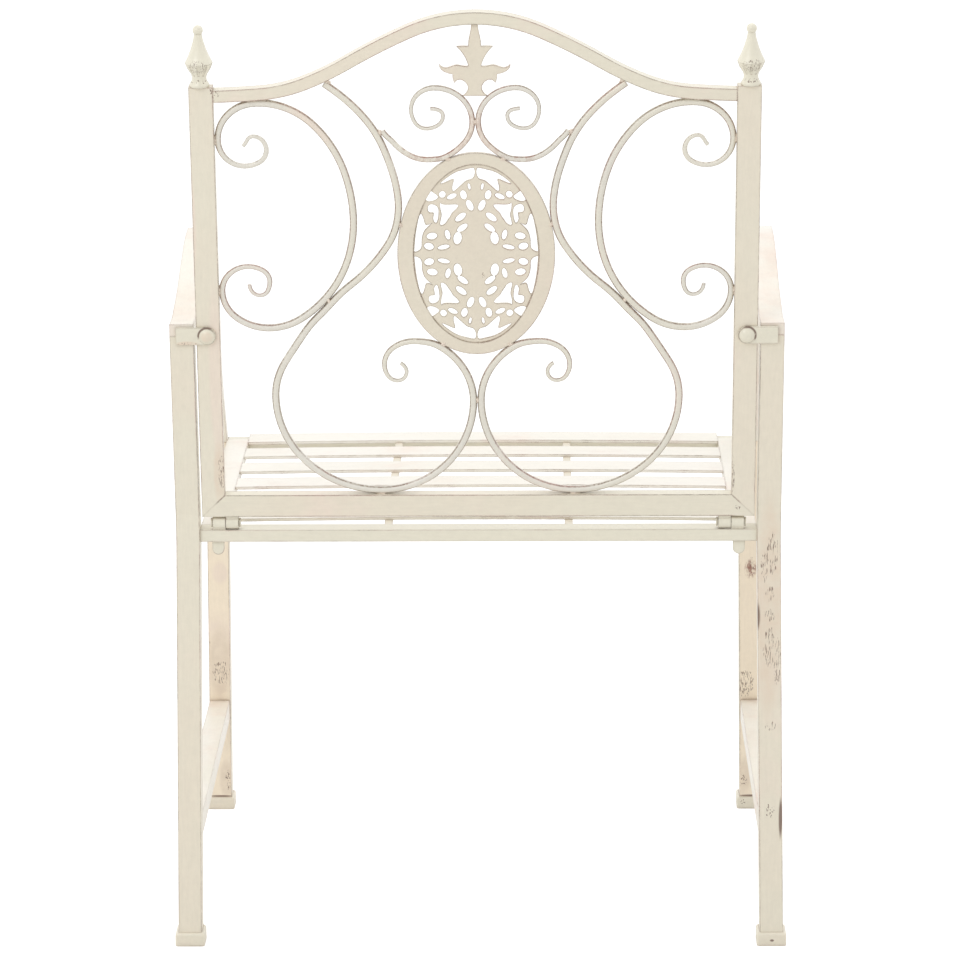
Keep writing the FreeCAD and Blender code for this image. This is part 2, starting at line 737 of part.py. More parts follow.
rail_keys = [
    rail_key(252, 0, 178.5),
    rail_key(208, 2.2, 176),
    rail_key(123, 32.3, 149.5),
    rail_key(0, 76.8, 180),
]
rail_keys += [(-x, z, -angle, half_width) for x, z, angle, half_width in reversed(rail_keys[:-1])]
rail_path = smooth_path(rail_keys)
rail_underside = Part.Wire(chain(
    [(point + heading_vector(angle + 90) * half_width, angle) for point, angle, half_width in rail_path]))


def under_rail(x):
    """Level of the underside of the top rail at a distance from the middle."""
    plumb = Part.LineSegment(vector(x, 0, 0), vector(x, 0, 2 * size("top_rail_apex"))).toShape()
    return rail_underside.distToShape(plumb)[1][0][0].z


def beneath_rail(x, radius):
    """Key of a bar that touches the underside of the top rail on its way to the middle."""
    slope = (under_rail(x + 1) - under_rail(x - 1)) / 2
    away = (radius + size("weld_gap")) / hypot(slope, 1)
    return x + slope * away, under_rail(x) - away, degrees(atan2(-slope, -1)), radius


def through(face, thickness):
    """A plate from a face in the plane of the backrest, centred in it."""
    plate = face.extrude(vector(0, thickness, 0))
    plate.translate(vector(0, -thickness / 2, 0))
    return plate


def top_rail_shape():
    thin = size("tube_wall")
    outer = through(band(rail_keys), size("top_rail_depth"))
    inner_keys = [(x, z, angle, half_width - thin) for x, z, angle, half_width in rail_keys]
    inner = through(band(inner_keys), size("top_rail_depth") - 2 * thin)
    ends = Part.makeBox(2 * upright_inner, size("flat_depth") * 2, size("top_rail_apex"))
    ends.translate(vector(-upright_inner, -size("flat_depth"), 0))
    return outer.cut(inner).common(ends)


def back_shape(label, shape):
    return shaped(label, shape, back_frame)


node(back_shape("back_top_rail", top_rail_shape()), "back_top_rail")


# Finials: a flared base, a neck, a bulb that swells and draws in to a long cone, and a ball
def turned(name, steps):
    """Rings stacked on one axis, each from one radius and level to the next, all as formulas."""
    rings = []
    for index, ((low_radius, low), (high_radius, high)) in enumerate(zip(steps, steps[1:])):
        ring = doc.addObject("Part::Cone", f"{name}_{index}")
        bind(ring, {"Radius1": low_radius, "Radius2": high_radius, "Height": f"({high}) - ({low})",
                    "Placement.Base.x": finial_x, "Placement.Base.z": f"dims.upright_top + {low}"})
        rings.append(ring)
    return rings


finial_x = f"({outer_x} - dims.finial_inset)"
base_radius, neck_radius = "dims.finial_base_radius", "dims.finial_neck_radius"
bulb_radius, ball_radius = "dims.finial_bulb_radius", "dims.finial_ball_radius"
finial_rings = turned("finial_ring", [
    (base_radius, "0"), (f"{base_radius} + 0.2", "2"), (f"{neck_radius} + 0.4", "6"), (neck_radius, "9"),
    (f"{neck_radius} + 0.6", str(finial_neck_level)), (f"{bulb_radius} - 2.2", "18"),
    (bulb_radius, str(finial_bulb_level)), (f"{bulb_radius} - 3.2", "30"), (f"{bulb_radius} - 6", "37"),
    (f"{ball_radius} - 0.2", "46"), (f"{ball_radius} - 1.4", "52.5"),
])
ball = doc.addObject("Part::Sphere", "finial_ball")
bind(ball, {"Radius": ball_radius, "Placement.Base.x": finial_x,
            "Placement.Base.z": "dims.upright_top + 55.5"})
finial_body = fused(finial_rings + [ball], "finial_body")
flutes = []
FLUTES = 10
for index in range(FLUTES):
    flute = doc.addObject("Part::Cylinder", f"finial_flute_{index}")
    turn = FreeCAD.Rotation(vector(0, 0, 1), 360 / FLUTES * (index + 0.5))
    flute.Placement = FreeCAD.Placement(
        turn.multVec(vector(size("finial_neck_radius") + 1.4, 0, 0))
        + vector(upright_outer - size("finial_inset"), 0, size("upright_top") + 11),
        turn.multiply(FreeCAD.Rotation(vector(0, 1, 0), 27)))
    bind(flute, {"Radius": "1.5", "Height": "14"})
    flutes.append(flute)
pair(back_piece(hollow(finial_body, fused(flutes, "finial_flutes"), "finial")), "finial")

# Scrolls of round bar that taper into their curls.
# Each key is a place on the left side of the backrest, a heading and the bar's radius there.
bar = size("scroll_radius")
tip = size("curl_tip_radius")
fine = size("small_scroll_radius")
thin_bar = (bar + 2 * tip) / 3
mid_bar = (2 * bar + tip) / 3
weld = size("weld_gap")


def beside_upright(z, radius):
    """Key of a bar that rises along the inner face of the upright."""
    return upright_inner - weld - radius, back_rail_top + z * tall, 90, radius


def moved(key, angle, distance, radius):
    """The key a distance away from another one, to the side that the angle gives, with the same heading."""
    x, z, heading, _ = key
    step = heading_vector(heading + angle) * distance
    return x + step.x, z + step.z, heading, radius


crossing = drawn(147.7, 205.9, 311, bar)
outer_scroll_keys = [
    drawn(224.4, 361.5, 130, tip),
    drawn(214.6, 371.2, 180, tip),
    drawn(202.1, 357.5, 270, thin_bar),
    drawn(223.2, 341.3, 0, thin_bar),
    beside_upright(368.0, mid_bar),
    beneath_rail(213.5 * wide, bar),
    drawn(156.3, 382.7, 225, bar),
    drawn(119.1, 285.0, 270, bar),
    crossing,
    drawn(203.8, 175.1, 0, bar),
    beside_upright(213.5, mid_bar),
    drawn(222.8, 238.7, 180, thin_bar),
    drawn(202.0, 223.2, 270, thin_bar),
    drawn(211.8, 208.8, 0, tip),
    drawn(222.0, 220.0, 90, tip),
]
pair(back_shape("outer_scroll", rod(outer_scroll_keys)), "outer_scroll")

# Medallion
medallion_level = back_rail_top + size("medallion_lift")
ring_half_width = size("medallion_half_width")
ring_half_height = size("medallion_half_height")
medallion_top = medallion_level + ring_half_height


def beside_ring(share, up, radius, turn=0):
    """Key of a bar that touches the medallion's rim at a share of its half width from the middle."""
    x = share * ring_half_width
    rise = ring_half_height * sqrt(1 - share ** 2) * up
    slope_x, slope_z = x / ring_half_width ** 2, rise / ring_half_height ** 2
    away = (radius + weld) / hypot(slope_x, slope_z)
    heading = degrees(atan2(slope_x, -slope_z)) + turn
    return x + slope_x * away, medallion_level + rise + slope_z * away, heading, radius


rail_end_x = 145.0 * wide
scroll_neck = drawn(98.3, 377.5, 238, bar)
inner_scroll_keys = [
    (rail_end_x, under_rail(rail_end_x) - size("scroll_end_drop"), 215, bar),
    drawn(120.1, 403.8, 224, bar),
    scroll_neck,
    drawn(81.2, 337.2, 253, bar),
    beside_ring(0.9561, 1, bar, turn=180),
    drawn(101.3, 240.1, 311, bar),
    moved(crossing, -90, 2 * bar + weld, bar),
    drawn(168.6, 170.9, 304, bar),
    drawn(199.1, 103.5, 270, bar),
    (95.8 * wide, back_rail_top + weld + bar, 180, bar),
    (bar + weld, back_rail_top + 98.6 * tall, 90, bar),
    beside_ring(0.4275, -1, bar),
    drawn(62.1, 160.8, 0, mid_bar),
    drawn(91.2, 136.3, 270, thin_bar),
    drawn(78.4, 119.5, 180, tip),
    drawn(69.4, 128.6, 90, tip),
    drawn(75.2, 137.8, 30, tip),
]
pair(back_shape("inner_scroll", rod(inner_scroll_keys)), "inner_scroll")


def over_medallion(x, z, angle, radius):
    """A key drawn from the top of the medallion."""
    return x * wide, medallion_top + z * tall, turned_heading(angle, wide, tall), radius


small_scroll_start = moved(moved(scroll_neck, 0, 5.7, fine), -90, bar + fine + weld, fine)
small_scroll_keys = [
    small_scroll_start,
    over_medallion(78.2, 9.1, 229, fine),
    over_medallion(46.5, -7.1, 180, fine),
    beside_ring(0.3497, 1, fine),
    (fine + weld, medallion_top + 30.9 * tall, 90, fine),
    over_medallion(39.0, 65.0, 0, fine),
    over_medallion(61.7, 43.1, 270, tip),
    over_medallion(47.1, 24.1, 180, tip),
    over_medallion(31.0, 36.8, 90, tip),
    over_medallion(43.1, 44.1, 0, tip),
]
pair(back_shape("small_scroll", rod(small_scroll_keys)), "small_scroll")


def oval(half_width, half_height, thickness):
    """A solid oval, standing in the plane of the backrest round the middle of the medallion."""
    curve = Part.Ellipse(vector(0, 0, 0), half_height, half_width)
    face = Part.Face(Part.Wire(curve.toShape()))
    face.Placement = FreeCAD.Placement(
        vector(0, 0, medallion_level), FreeCAD.Rotation(vector(1, 1, 1), 240))
    return through(face, thickness)


window_half_width = ring_half_width - size("ring_side")
window_half_height = ring_half_height - size("ring_end")
ring = oval(ring_half_width, ring_half_height, size("ring_thickness")).cut(
    oval(window_half_width, window_half_height, size("ring_thickness")))
node(back_shape("medallion_ring", ring), "medallion_ring")

# The filigree that fills the medallion. Every opening is drawn in one quarter and mirrored into the rest,
# as distances from the middle of a window this wide and high, and stretches with the window.
# A small opening is an oval: x, z, half width, half height, tilt.
DRAWN_WINDOW_HALF_WIDTH = 61.5
DRAWN_WINDOW_HALF_HEIGHT = 90.3
window_wide = window_half_width / DRAWN_WINDOW_HALF_WIDTH
window_tall = window_half_height / DRAWN_WINDOW_HALF_HEIGHT
OVALS = [
    (18.1, 16.0, 4.0, 6.4, 8),
    (27.8, 19.5, 2.5, 5.2, -12),
    (13.4, 26.4, 3.0, 6.0, 52),
    (15.0, 37.2, 3.1, 6.2, 50),
    (5.9, 49.0, 3.1, 5.8, -22),
    (12.0, 59.5, 3.1, 4.8, -12),
    (6.4, 67.8, 1.3, 3.4, -10),
    (32.6, 60.0, 3.2, 3.5, 20),
    (23.4, 58.0, 2.6, 5.0, 65),
    (31.8, 7.0, 6.0, 2.4, -12),
    (46.2, 7.8, 4.8, 3.6, 15),
    (43.2, 18.2, 5.2, 3.5, -10),
]
# A larger opening is a smooth closed outline through a few points.
OUTLINES = [
    [(60.6, 3), (59.4, 16), (57.4, 29), (53.4, 40.5), (50.8, 34), (48.6, 29.5), (42.4, 31.8),
     (49.0, 25.6), (51.6, 21.5), (53.4, 12), (56.6, 3.4)],
    [(42.4, 62.8), (37.0, 56.8), (48.6, 54.6)],
    [(46.8, 44.4), (44.0, 50.2), (38.6, 48.6), (36.6, 40), (39.6, 31.4), (41.6, 35.2), (41.4, 41.6)],
    [(34.4, 51.6), (26.5, 49.8), (17.2, 48.8), (20.2, 44.4), (23.6, 41), (25.8, 37), (27.6, 34.6),
     (30.0, 31), (34.2, 29), (33.4, 39), (34.6, 46)],
    [(3.2, 86.6), (12.0, 84.6), (22.5, 80.5), (34.0, 70.6), (27.4, 73.2), (21.4, 75.2), (22.6, 68.2),
     (21.8, 63.2), (18.2, 65.8), (13.6, 70), (8.2, 74.2), (2.6, 76.6)],
]


def oval_face(x, z, half_width, half_height, tilt):
    x, half_width = x * window_wide, half_width * window_wide
    z, half_height = z * window_tall, half_height * window_tall
    curve = Part.Ellipse(vector(0, 0, 0), max(half_width, half_height), min(half_width, half_height))
    face = Part.Face(Part.Wire(curve.toShape()))
    lie = 90 if half_height > half_width else 0
    face.rotate(vector(0, 0, 0), vector(0, 0, 1), lie + tilt)
    face.rotate(vector(0, 0, 0), vector(1, 0, 0), 90)
    face.translate(vector(x, 0, z))
    return face


def smooth_edge(points, place, closed=False):
    """A smooth curve through drawn points, which then stretches as a whole to its real place."""
    curve = Part.BSplineCurve()
    curve.interpolate([vector(x, 0, z) for x, z in points], PeriodicFlag=closed)
    for index, pole in enumerate(curve.getPoles(), 1):
        curve.setPole(index, place(pole.x, pole.z))
    return curve.toShape()


def window_point(x, z):
    return vector(x * window_wide, 0, z * window_tall)


def outline_face(points):
    return Part.Face(Part.Wire(smooth_edge(points, window_point, closed=True)))


def filigree_shape():
    thickness = size("filigree_thickness")
    quarter = [oval_face(*item) for item in OVALS] + [outline_face(points) for points in OUTLINES]
    cutters = []
    for face in quarter:
        for mirror_x in (False, True):
            for mirror_z in (False, True):
                opening = face.copy()
                if mirror_x:
                    opening = opening.mirror(vector(0, 0, 0), vector(1, 0, 0))
                if mirror_z:
                    opening = opening.mirror(vector(0, 0, 0), vector(0, 0, 1))
                prism = opening.extrude(vector(0, 2 * thickness, 0))
                prism.translate(vector(0, -thickness, medallion_level))
                cutters.append(prism)
    return oval(window_half_width, window_half_height, thickness).cut(cutters)


node(back_shape("medallion_filigree", filigree_shape()), "medallion_filigree")

# The leaf ornament between the small scrolls and the top rail, cut from plate.
# Half of its outline runs from the stem's top to its foot, a smooth stretch at a time,
# as distances from the middle of the medallion in a drawing that stretches to meet the rail.
DRAWN_ORNAMENT_TOP = 230.5
DRAWN_ORNAMENT_FOOT = 158.9
ornament_top = rail_middle_apex - rail_half - weld
ornament_foot = medallion_top + size("ornament_lift")
ornament_tall = (ornament_top - ornament_foot) / (DRAWN_ORNAMENT_TOP - DRAWN_ORNAMENT_FOOT)
ORNAMENT = [
    [(3.3, 230.5), (3.5, 226), (4.8, 219.5), (5.9, 213.5), (6.1, 208.3)],
    [(6.1, 208.3), (11.5, 208.6), (17.4, 208.2)],
    [(17.4, 208.2), (12.5, 202.6), (8.6, 196), (6.2, 188.6)],
    [(6.2, 188.6), (12, 188.9), (17.8, 189.8), (25.6, 187.4), (34.2, 190.6)],
    [(34.2, 190.6), (32.8, 186), (28, 182.4), (21.4, 180.6)],
    [(21.4, 180.6), (21.2, 176.4), (19.4, 171.6)],
    [(19.4, 171.6), (17.2, 174.4), (12.8, 174.8), (8.4, 171.6), (6.6, 167), (8.2, 162.4), (11.9, 158.9)],
]


def ornament_point(x, z):
    return vector(x * wide, 0, ornament_foot + (z - DRAWN_ORNAMENT_FOOT) * ornament_tall)


def ornament_shape():
    edges = []
    for sign in (1, -1):
        for stretch in ORNAMENT:
            edges.append(smooth_edge([(sign * x, z) for x, z in stretch], ornament_point))
    for x, z in (ORNAMENT[0][0], ORNAMENT[-1][-1]):
        edges.append(Part.LineSegment(ornament_point(-x, z), ornament_point(x, z)).toShape())
    face = Part.Face(Part.Wire(Part.__sortEdges__(edges)))
    return through(face, size("ornament_thickness"))


node(back_shape("top_ornament", ornament_shape()), "top_ornament")

# Straps on the rear legs that the backrest is bolted to
tab_back = f"({deep} + dims.tab_gap)"
tab_plate = fused([
    block("tab_plate", (bolt_x, tab_back, "dims.bolt_level - dims.tab_height / 2"),
          (f"{inner_x} + dims.tab_reach - {bolt_x}", "dims.tab_thickness", "dims.tab_height")),
    tilted_cylinder("tab_end", "dims.tab_height / 2", "dims.tab_thickness", bolt_x,
                    f"{tab_back} + dims.tab_thickness", "dims.bolt_level"),
], "tab_solid")
tab_hole = tilted_cylinder("tab_hole", "dims.bolt_radius + dims.bolt_slip", "dims.tab_thickness", bolt_x,
                           f"{tab_back} + dims.tab_thickness", "dims.bolt_level")
pair(back_piece(hollow(tab_plate, tab_hole, "arm_tab")), "arm_tab")

head_seat = f"({tab_back} + dims.tab_thickness)"
dome_radius = "((dims.bolt_head_radius ^ 2 + dims.bolt_head_height ^ 2) / (2 * dims.bolt_head_height))"
dome_ball = doc.addObject("Part::Sphere", "bolt_dome_ball")
bind(dome_ball, {"Radius": dome_radius, "Placement.Base.x": bolt_x, "Placement.Base.z": "dims.bolt_level",
                 "Placement.Base.y": f"{head_seat} + dims.bolt_head_height - {dome_radius}"})
dome_room = block("bolt_dome_room", (f"{bolt_x} - 2 * dims.bolt_head_radius", head_seat,
                                     "dims.bolt_level - 2 * dims.bolt_head_radius"),
                  ("4 * dims.bolt_head_radius", "2 * dims.bolt_head_radius", "4 * dims.bolt_head_radius"))
dome = doc.addObject("Part::Common", "bolt_dome")
dome.Base = dome_ball
dome.Tool = dome_room
shank = tilted_cylinder("bolt_shank", "dims.bolt_radius", f"{head_seat} + {deep} - dims.bolt_end_gap", bolt_x,
                        head_seat, "dims.bolt_level")
pair(back_piece(fused([dome, shank], "arm_bolt")), "arm_bolt")

# Check every object and write one file for each piece
doc.recompute()
broken = [item.Name for item in doc.Objects if "Invalid" in item.State or "Error" in item.State]
for item in NODES:
    if item.Shape.isNull() or not item.Shape.isValid() or not item.Shape.Solids:
        broken.append(item.Label)
if broken:
    raise RuntimeError("pieces that failed: " + ", ".join(broken))
os.makedirs("parts", exist_ok=True)
for item in NODES:
    item.Shape.exportStep("parts/" + item.Label + ".step")
print(len(NODES), "pieces written")
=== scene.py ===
import math

import bmesh
import bpy
from mathutils import Matrix, Vector, noise
from mathutils.bvhtree import BVHTree


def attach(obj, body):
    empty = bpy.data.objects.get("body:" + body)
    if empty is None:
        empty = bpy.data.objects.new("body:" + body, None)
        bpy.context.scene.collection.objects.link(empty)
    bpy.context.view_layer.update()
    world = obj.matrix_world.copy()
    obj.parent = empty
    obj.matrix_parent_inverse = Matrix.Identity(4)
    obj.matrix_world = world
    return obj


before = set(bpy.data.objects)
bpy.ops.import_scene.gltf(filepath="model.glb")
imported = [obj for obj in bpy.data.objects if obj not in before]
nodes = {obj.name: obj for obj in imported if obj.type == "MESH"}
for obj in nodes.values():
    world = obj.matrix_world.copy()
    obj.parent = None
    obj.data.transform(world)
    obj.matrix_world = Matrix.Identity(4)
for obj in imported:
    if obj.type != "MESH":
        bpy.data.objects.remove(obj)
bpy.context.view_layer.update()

scene = bpy.context.scene
scene.view_settings.view_transform = "Standard"


def srgb(r, g, b):
    """A colour written as the 0-255 numbers of a picture, as Blender's linear RGBA."""
    def linear(level):
        share = level / 255
        return share / 12.92 if share <= 0.04045 else ((share + 0.055) / 1.055) ** 2.4
    return (linear(r), linear(g), linear(b), 1.0)


# Shader helpers
class Tree:
    """The node tree of a material or the world, with one short call for each node."""

    def __init__(self, tree):
        self.tree = tree

    def add(self, kind, sockets=None, **settings):
        made = self.tree.nodes.new(kind)
        for name, value in settings.items():
            setattr(made, name, value)
        for name, value in (sockets or {}).items():
            self.put(made.inputs[name], value)
        return made

    def put(self, socket, value):
        if isinstance(value, bpy.types.NodeSocket):
            self.tree.links.new(value, socket)
        else:
            socket.default_value = value

    def math(self, operation, first, second=0.0, clamp=False):
        made = self.add("ShaderNodeMath", operation=operation, use_clamp=clamp)
        self.put(made.inputs[0], first)
        self.put(made.inputs[1], second)
        return made.outputs[0]

    def ramp(self, value, low, high, to_low=0.0, to_high=1.0):
        """value from low to high, smoothly, as to_low to to_high."""
        made = self.add("ShaderNodeMapRange", interpolation_type="SMOOTHSTEP")
        self.put(made.inputs["Value"], value)
        made.inputs["From Min"].default_value = low
        made.inputs["From Max"].default_value = high
        made.inputs["To Min"].default_value = to_low
        made.inputs["To Max"].default_value = to_high
        return made.outputs["Result"]

    def noise(self, place, scale, detail, roughness, stretch, shift):
        moved = self.add("ShaderNodeMapping")
        self.put(moved.inputs["Vector"], place)
        moved.inputs["Scale"].default_value = stretch
        moved.inputs["Location"].default_value = shift
        made = self.add("ShaderNodeTexNoise")
        self.put(made.inputs["Vector"], moved.outputs["Vector"])
        made.inputs["Scale"].default_value = scale
        made.inputs["Detail"].default_value = detail
        made.inputs["Roughness"].default_value = roughness
        return made.outputs["Fac"]

    def mix(self, share, first, second, blend="MIX"):
        made = self.add("ShaderNodeMix", data_type="RGBA", blend_type=blend)
        self.put(made.inputs["Factor"], share)
        self.put(made.inputs[6], first)
        self.put(made.inputs[7], second)
        return made.outputs[2]

    def dot(self, first, second):
        made = self.add("ShaderNodeVectorMath", operation="DOT_PRODUCT")
        self.put(made.inputs[0], first)
        self.put(made.inputs[1], second)
        return made.outputs["Value"]

    def most(self, values):
        """The largest of the values, held between 0 and 1."""
        best = values[0]
        for value in values[1:]:
            best = self.math("MAXIMUM", best, value)
        return self.math("MULTIPLY", best, 1.0, clamp=True)

    def from_point(self, place, centre, reach):
        """place as seen from centre, in shares of reach along each axis."""
        away = self.add("ShaderNodeVectorMath", operation="SUBTRACT")
        self.put(away.inputs[0], place)
        self.put(away.inputs[1], centre)
        share = self.add("ShaderNodeVectorMath", operation="DIVIDE")
        self.put(share.inputs[0], away.outputs["Vector"])
        self.put(share.inputs[1], reach)
        return share.outputs["Vector"]

    def spot(self, place, centre, reach):
        """1 within reach of centre, fading to 0 a little further out."""
        length = self.add("ShaderNodeVectorMath", operation="LENGTH")
        self.put(length.inputs[0], self.from_point(place, centre, reach))
        return self.ramp(length.outputs["Value"], 0.6, 1.2, 1.0, 0.0)

    def arc(self, place, centre, radius, side):
        """A thin arc of that radius round centre, in the plane of the back, on the given side of it."""
        seen = self.from_point(place, centre, (radius, 1.0, radius))
        length = self.add("ShaderNodeVectorMath", operation="LENGTH")
        self.put(length.inputs[0], seen)
        off = self.math("ABSOLUTE", self.math("SUBTRACT", length.outputs["Value"], 1.0))
        thin = self.ramp(off, 0.05, 0.16, 1.0, 0.0)
        return self.math("MULTIPLY", thin, self.ramp(self.dot(seen, side), 0.2, 0.6))


CREAM = srgb(232, 223, 205)
GREENISH = srgb(230, 225, 207)
PINKISH = srgb(237, 220, 206)
# A tan lighter than the cream, for the sides of the front legs that face the back: partly painted light
TAN = srgb(247, 233, 211)
# The cream made paler for the slats, seat side rails, stretchers and arms: painted light for their lit tops
PALE = srgb(243, 238, 228)
MEDAL = srgb(228, 218, 200)
SILVERY = srgb(226, 222, 212)
STAIN = srgb(226, 210, 190)
RUST = srgb(158, 114, 98)
PRIMER = srgb(162, 126, 115)
GRIME = srgb(156, 144, 126)
BARE_AND_SHADOW = srgb(108, 80, 68)
DIRT_AND_SHADE = srgb(170, 150, 130)

# The backrest leans back, and this is the way that its rear face looks
LEAN = math.radians(7.0)
BACK_NORMAL = (0.0, math.cos(LEAN), -math.sin(LEAN))

# Waves per metre of each pattern in the paint
WAVES = {
    "drift": 5.0,
    "blush": 11.0,
    "field": 14.0,
    "reach": 16.0,
    "patches": 28.0,
    "blot": 90.0,
    "mottle": 120.0,
    "flake": 150.0,
    "crust": 240.0,
    "brush": 420.0,
    "grit": 480.0,
    "flecks": 700.0,
    "dots": 700.0,
    "strokes": 1150.0,
}
EVEN = (1.0, 1.0, 1.0)

# Reach in metres of rubbed edges, of softened edges and of the dirt and painted shade in corners, with the
# samples for each
EDGE_REACH = 0.0028
EDGE_SAMPLES = 8
SOFT_REACH = 0.0007
SOFT_SAMPLES = 4
DIRT_AND_SHADE_REACH = 0.0045
DIRT_AND_SHADE_SAMPLES = 6

# How far each layer covers the ones below it, and how much of the wear a calm place keeps off
BLOOM_COVER = 0.6
RUB_COVER = 0.95
DEEP_COVER = 0.5
DIRT_AND_SHADE_COVER = 0.8
CRUMB_COVER = 0.6
BARE_AND_SHADOW_COVER = 0.85
CALM_SHARE = 0.85

# The relief in metres, and the gloss of sound paint
RELIEF_DEPTH = 0.0004
RELIEF_STRENGTH = 0.35
COAT_WEIGHT = 0.5
COAT_ROUGHNESS = 0.25


class Paint(Tree):
    """Old cream paint over a pinkish primer and bare brown metal, made layer by layer."""

    def __init__(self, name, grain, seed, marks):
        self.material = bpy.data.materials.new(name)
        self.material.use_nodes = True
        super().__init__(self.material.node_tree)
        self.tree.nodes.clear()
        self.place = self.add("ShaderNodeTexCoord").outputs["Object"]
        self.normal = self.add("ShaderNodeNewGeometry").outputs["Normal"]
        self.grain = grain
        self.seed = seed
        self.marks = marks

        shift = (seed, seed * 1.7, seed * 0.6)
        self.drift = self.pattern("drift", 3.0, 0.55, shift)
        self.blush = self.pattern("blush", 4.0, 0.6, (seed * 2.1 + 3.0, 1.0, seed))
        self.brush = self.pattern("brush", 4.0, 0.62, shift, grain)
        self.mottle = self.pattern("mottle", 6.0, 0.7, shift)
        self.patches = self.pattern("patches", 5.0, 0.65, (seed + 5.0, seed, 2.0))
        self.flecks = self.pattern("flecks", 4.0, 0.7, shift, grain)

        self.rubbed = self.spots("edge")
        self.sound = None
        if calm := self.spots("calm"):
            self.sound = self.math("SUBTRACT", 1.0, self.math("MULTIPLY", calm, CALM_SHARE))

    def pattern(self, name, detail, roughness, shift, stretch=EVEN):
        """One of the patterns in WAVES."""
        return self.noise(self.place, WAVES[name], detail, roughness, stretch, shift)

    def spots(self, word):
        """The places of the marks of one kind, or None where there are none."""
        masks = [self.spot(self.place, centre, reach) for kind, centre, reach in self.marks if kind == word]
        return self.most(masks) if masks else None

    def scatter(self, where, texture):
        """Specks of that texture, thinning out towards the end of a mark."""
        crowd = self.math("ADD", self.math("MULTIPLY", where, 0.3), self.math("MULTIPLY", self.mottle, 0.25))
        held = self.math("ADD", texture, crowd)
        return self.math("MULTIPLY", self.ramp(held, 0.97, 1.06), self.ramp(where, 0.0, 0.1))

    def body(self, base, own, pink, tan_and_painted_light):
        """The cream, with its slow drift, pinkish places, brush marks and mottle."""
        colour = self.mix(self.ramp(self.drift, 0.38, 0.62, own, 1.0), GREENISH, base)
        # A tan lighter than the cream on the sides that face the back: the legs' own tan, and painted light
        # there
        if tan_and_painted_light:
            back = self.dot(self.normal, (0.0, 1.0, 0.0))
            colour = self.mix(self.ramp(back, 0.3, 0.8), colour, tan_and_painted_light)
        blushed = self.ramp(self.blush, 0.62 - 0.3 * pink, 0.95 - 0.3 * pink)
        if bloom := self.spots("bloom"):
            blushed = self.most((blushed, self.math("MULTIPLY", bloom, BLOOM_COVER)))
        colour = self.mix(blushed, colour, PINKISH)

        brushed = self.ramp(self.brush, 0.3, 0.7, 0.965, 1.0)
        shade = self.math("ADD", brushed, self.ramp(self.mottle, 0.3, 0.7, -0.02, 0.015))
        tone = self.add("ShaderNodeCombineColor")
        for channel in ("Red", "Green", "Blue"):
            self.put(tone.inputs[channel], shade)
        return self.mix(1.0, colour, tone.outputs["Color"], "MULTIPLY")

    def edges(self, wear):
        """Where the edges are rubbed through."""
        wide = self.add("ShaderNodeBevel", {"Radius": EDGE_REACH}, samples=EDGE_SAMPLES).outputs["Normal"]
        edge = self.ramp(self.math("SUBTRACT", 1.0, self.dot(wide, self.normal)), 0.02, 0.16)
        worn = self.ramp(self.patches, 0.66 - 0.3 * wear, 0.86 - 0.3 * wear, 0.2 + 0.3 * wear, 1.0)
        if self.rubbed:
            worn = self.most((worn, self.rubbed))
        fleck = self.ramp(self.flecks, 0.3, 0.55, 0.25, 1.0)
        return self.math("MULTIPLY", self.math("MULTIPLY", edge, worn), fleck, clamp=True)

    def bar_sides(self):
        """The two sides of a round bar, between its face and its silhouette."""
        local = self.add(
            "ShaderNodeVectorTransform", vector_type="NORMAL", convert_from="WORLD", convert_to="OBJECT")
        self.put(local.inputs["Vector"], self.normal)
        facing = self.math("ABSOLUTE", self.dot(local.outputs["Vector"], BACK_NORMAL))
        return self.math("MULTIPLY", self.ramp(facing, 0.1, 0.4), self.ramp(facing, 0.62, 0.85, 1.0, 0.0))

    def bar_lines(self, sides, lines):
        """The stretches of those sides that are rubbed."""
        reach = self.pattern("reach", 4.0, 0.6, (self.seed + 9.0, self.seed, 4.0))
        reach = self.ramp(reach, 0.62 - 0.25 * lines, 0.8 - 0.25 * lines)
        if self.rubbed:
            reach = self.most((reach, self.rubbed))
        return self.math("MULTIPLY", sides, reach)

    def corners(self, seam):
        """Dirt and painted shade in corners and joints, darker where other surfaces are near."""
        nearness = self.add("ShaderNodeAmbientOcclusion", {"Distance": DIRT_AND_SHADE_REACH}, samples=DIRT_AND_SHADE_SAMPLES)
        near = self.ramp(nearness.outputs["AO"], 0.35, 0.9, 1.0, 0.0)
        corner = self.math("MULTIPLY", near, self.ramp(self.patches, 0.3, 0.6, 0.35, 1.0))
        corner = self.math("MULTIPLY", corner, seam, clamp=True)
        return self.math("MULTIPLY", corner, self.sound) if self.sound else corner

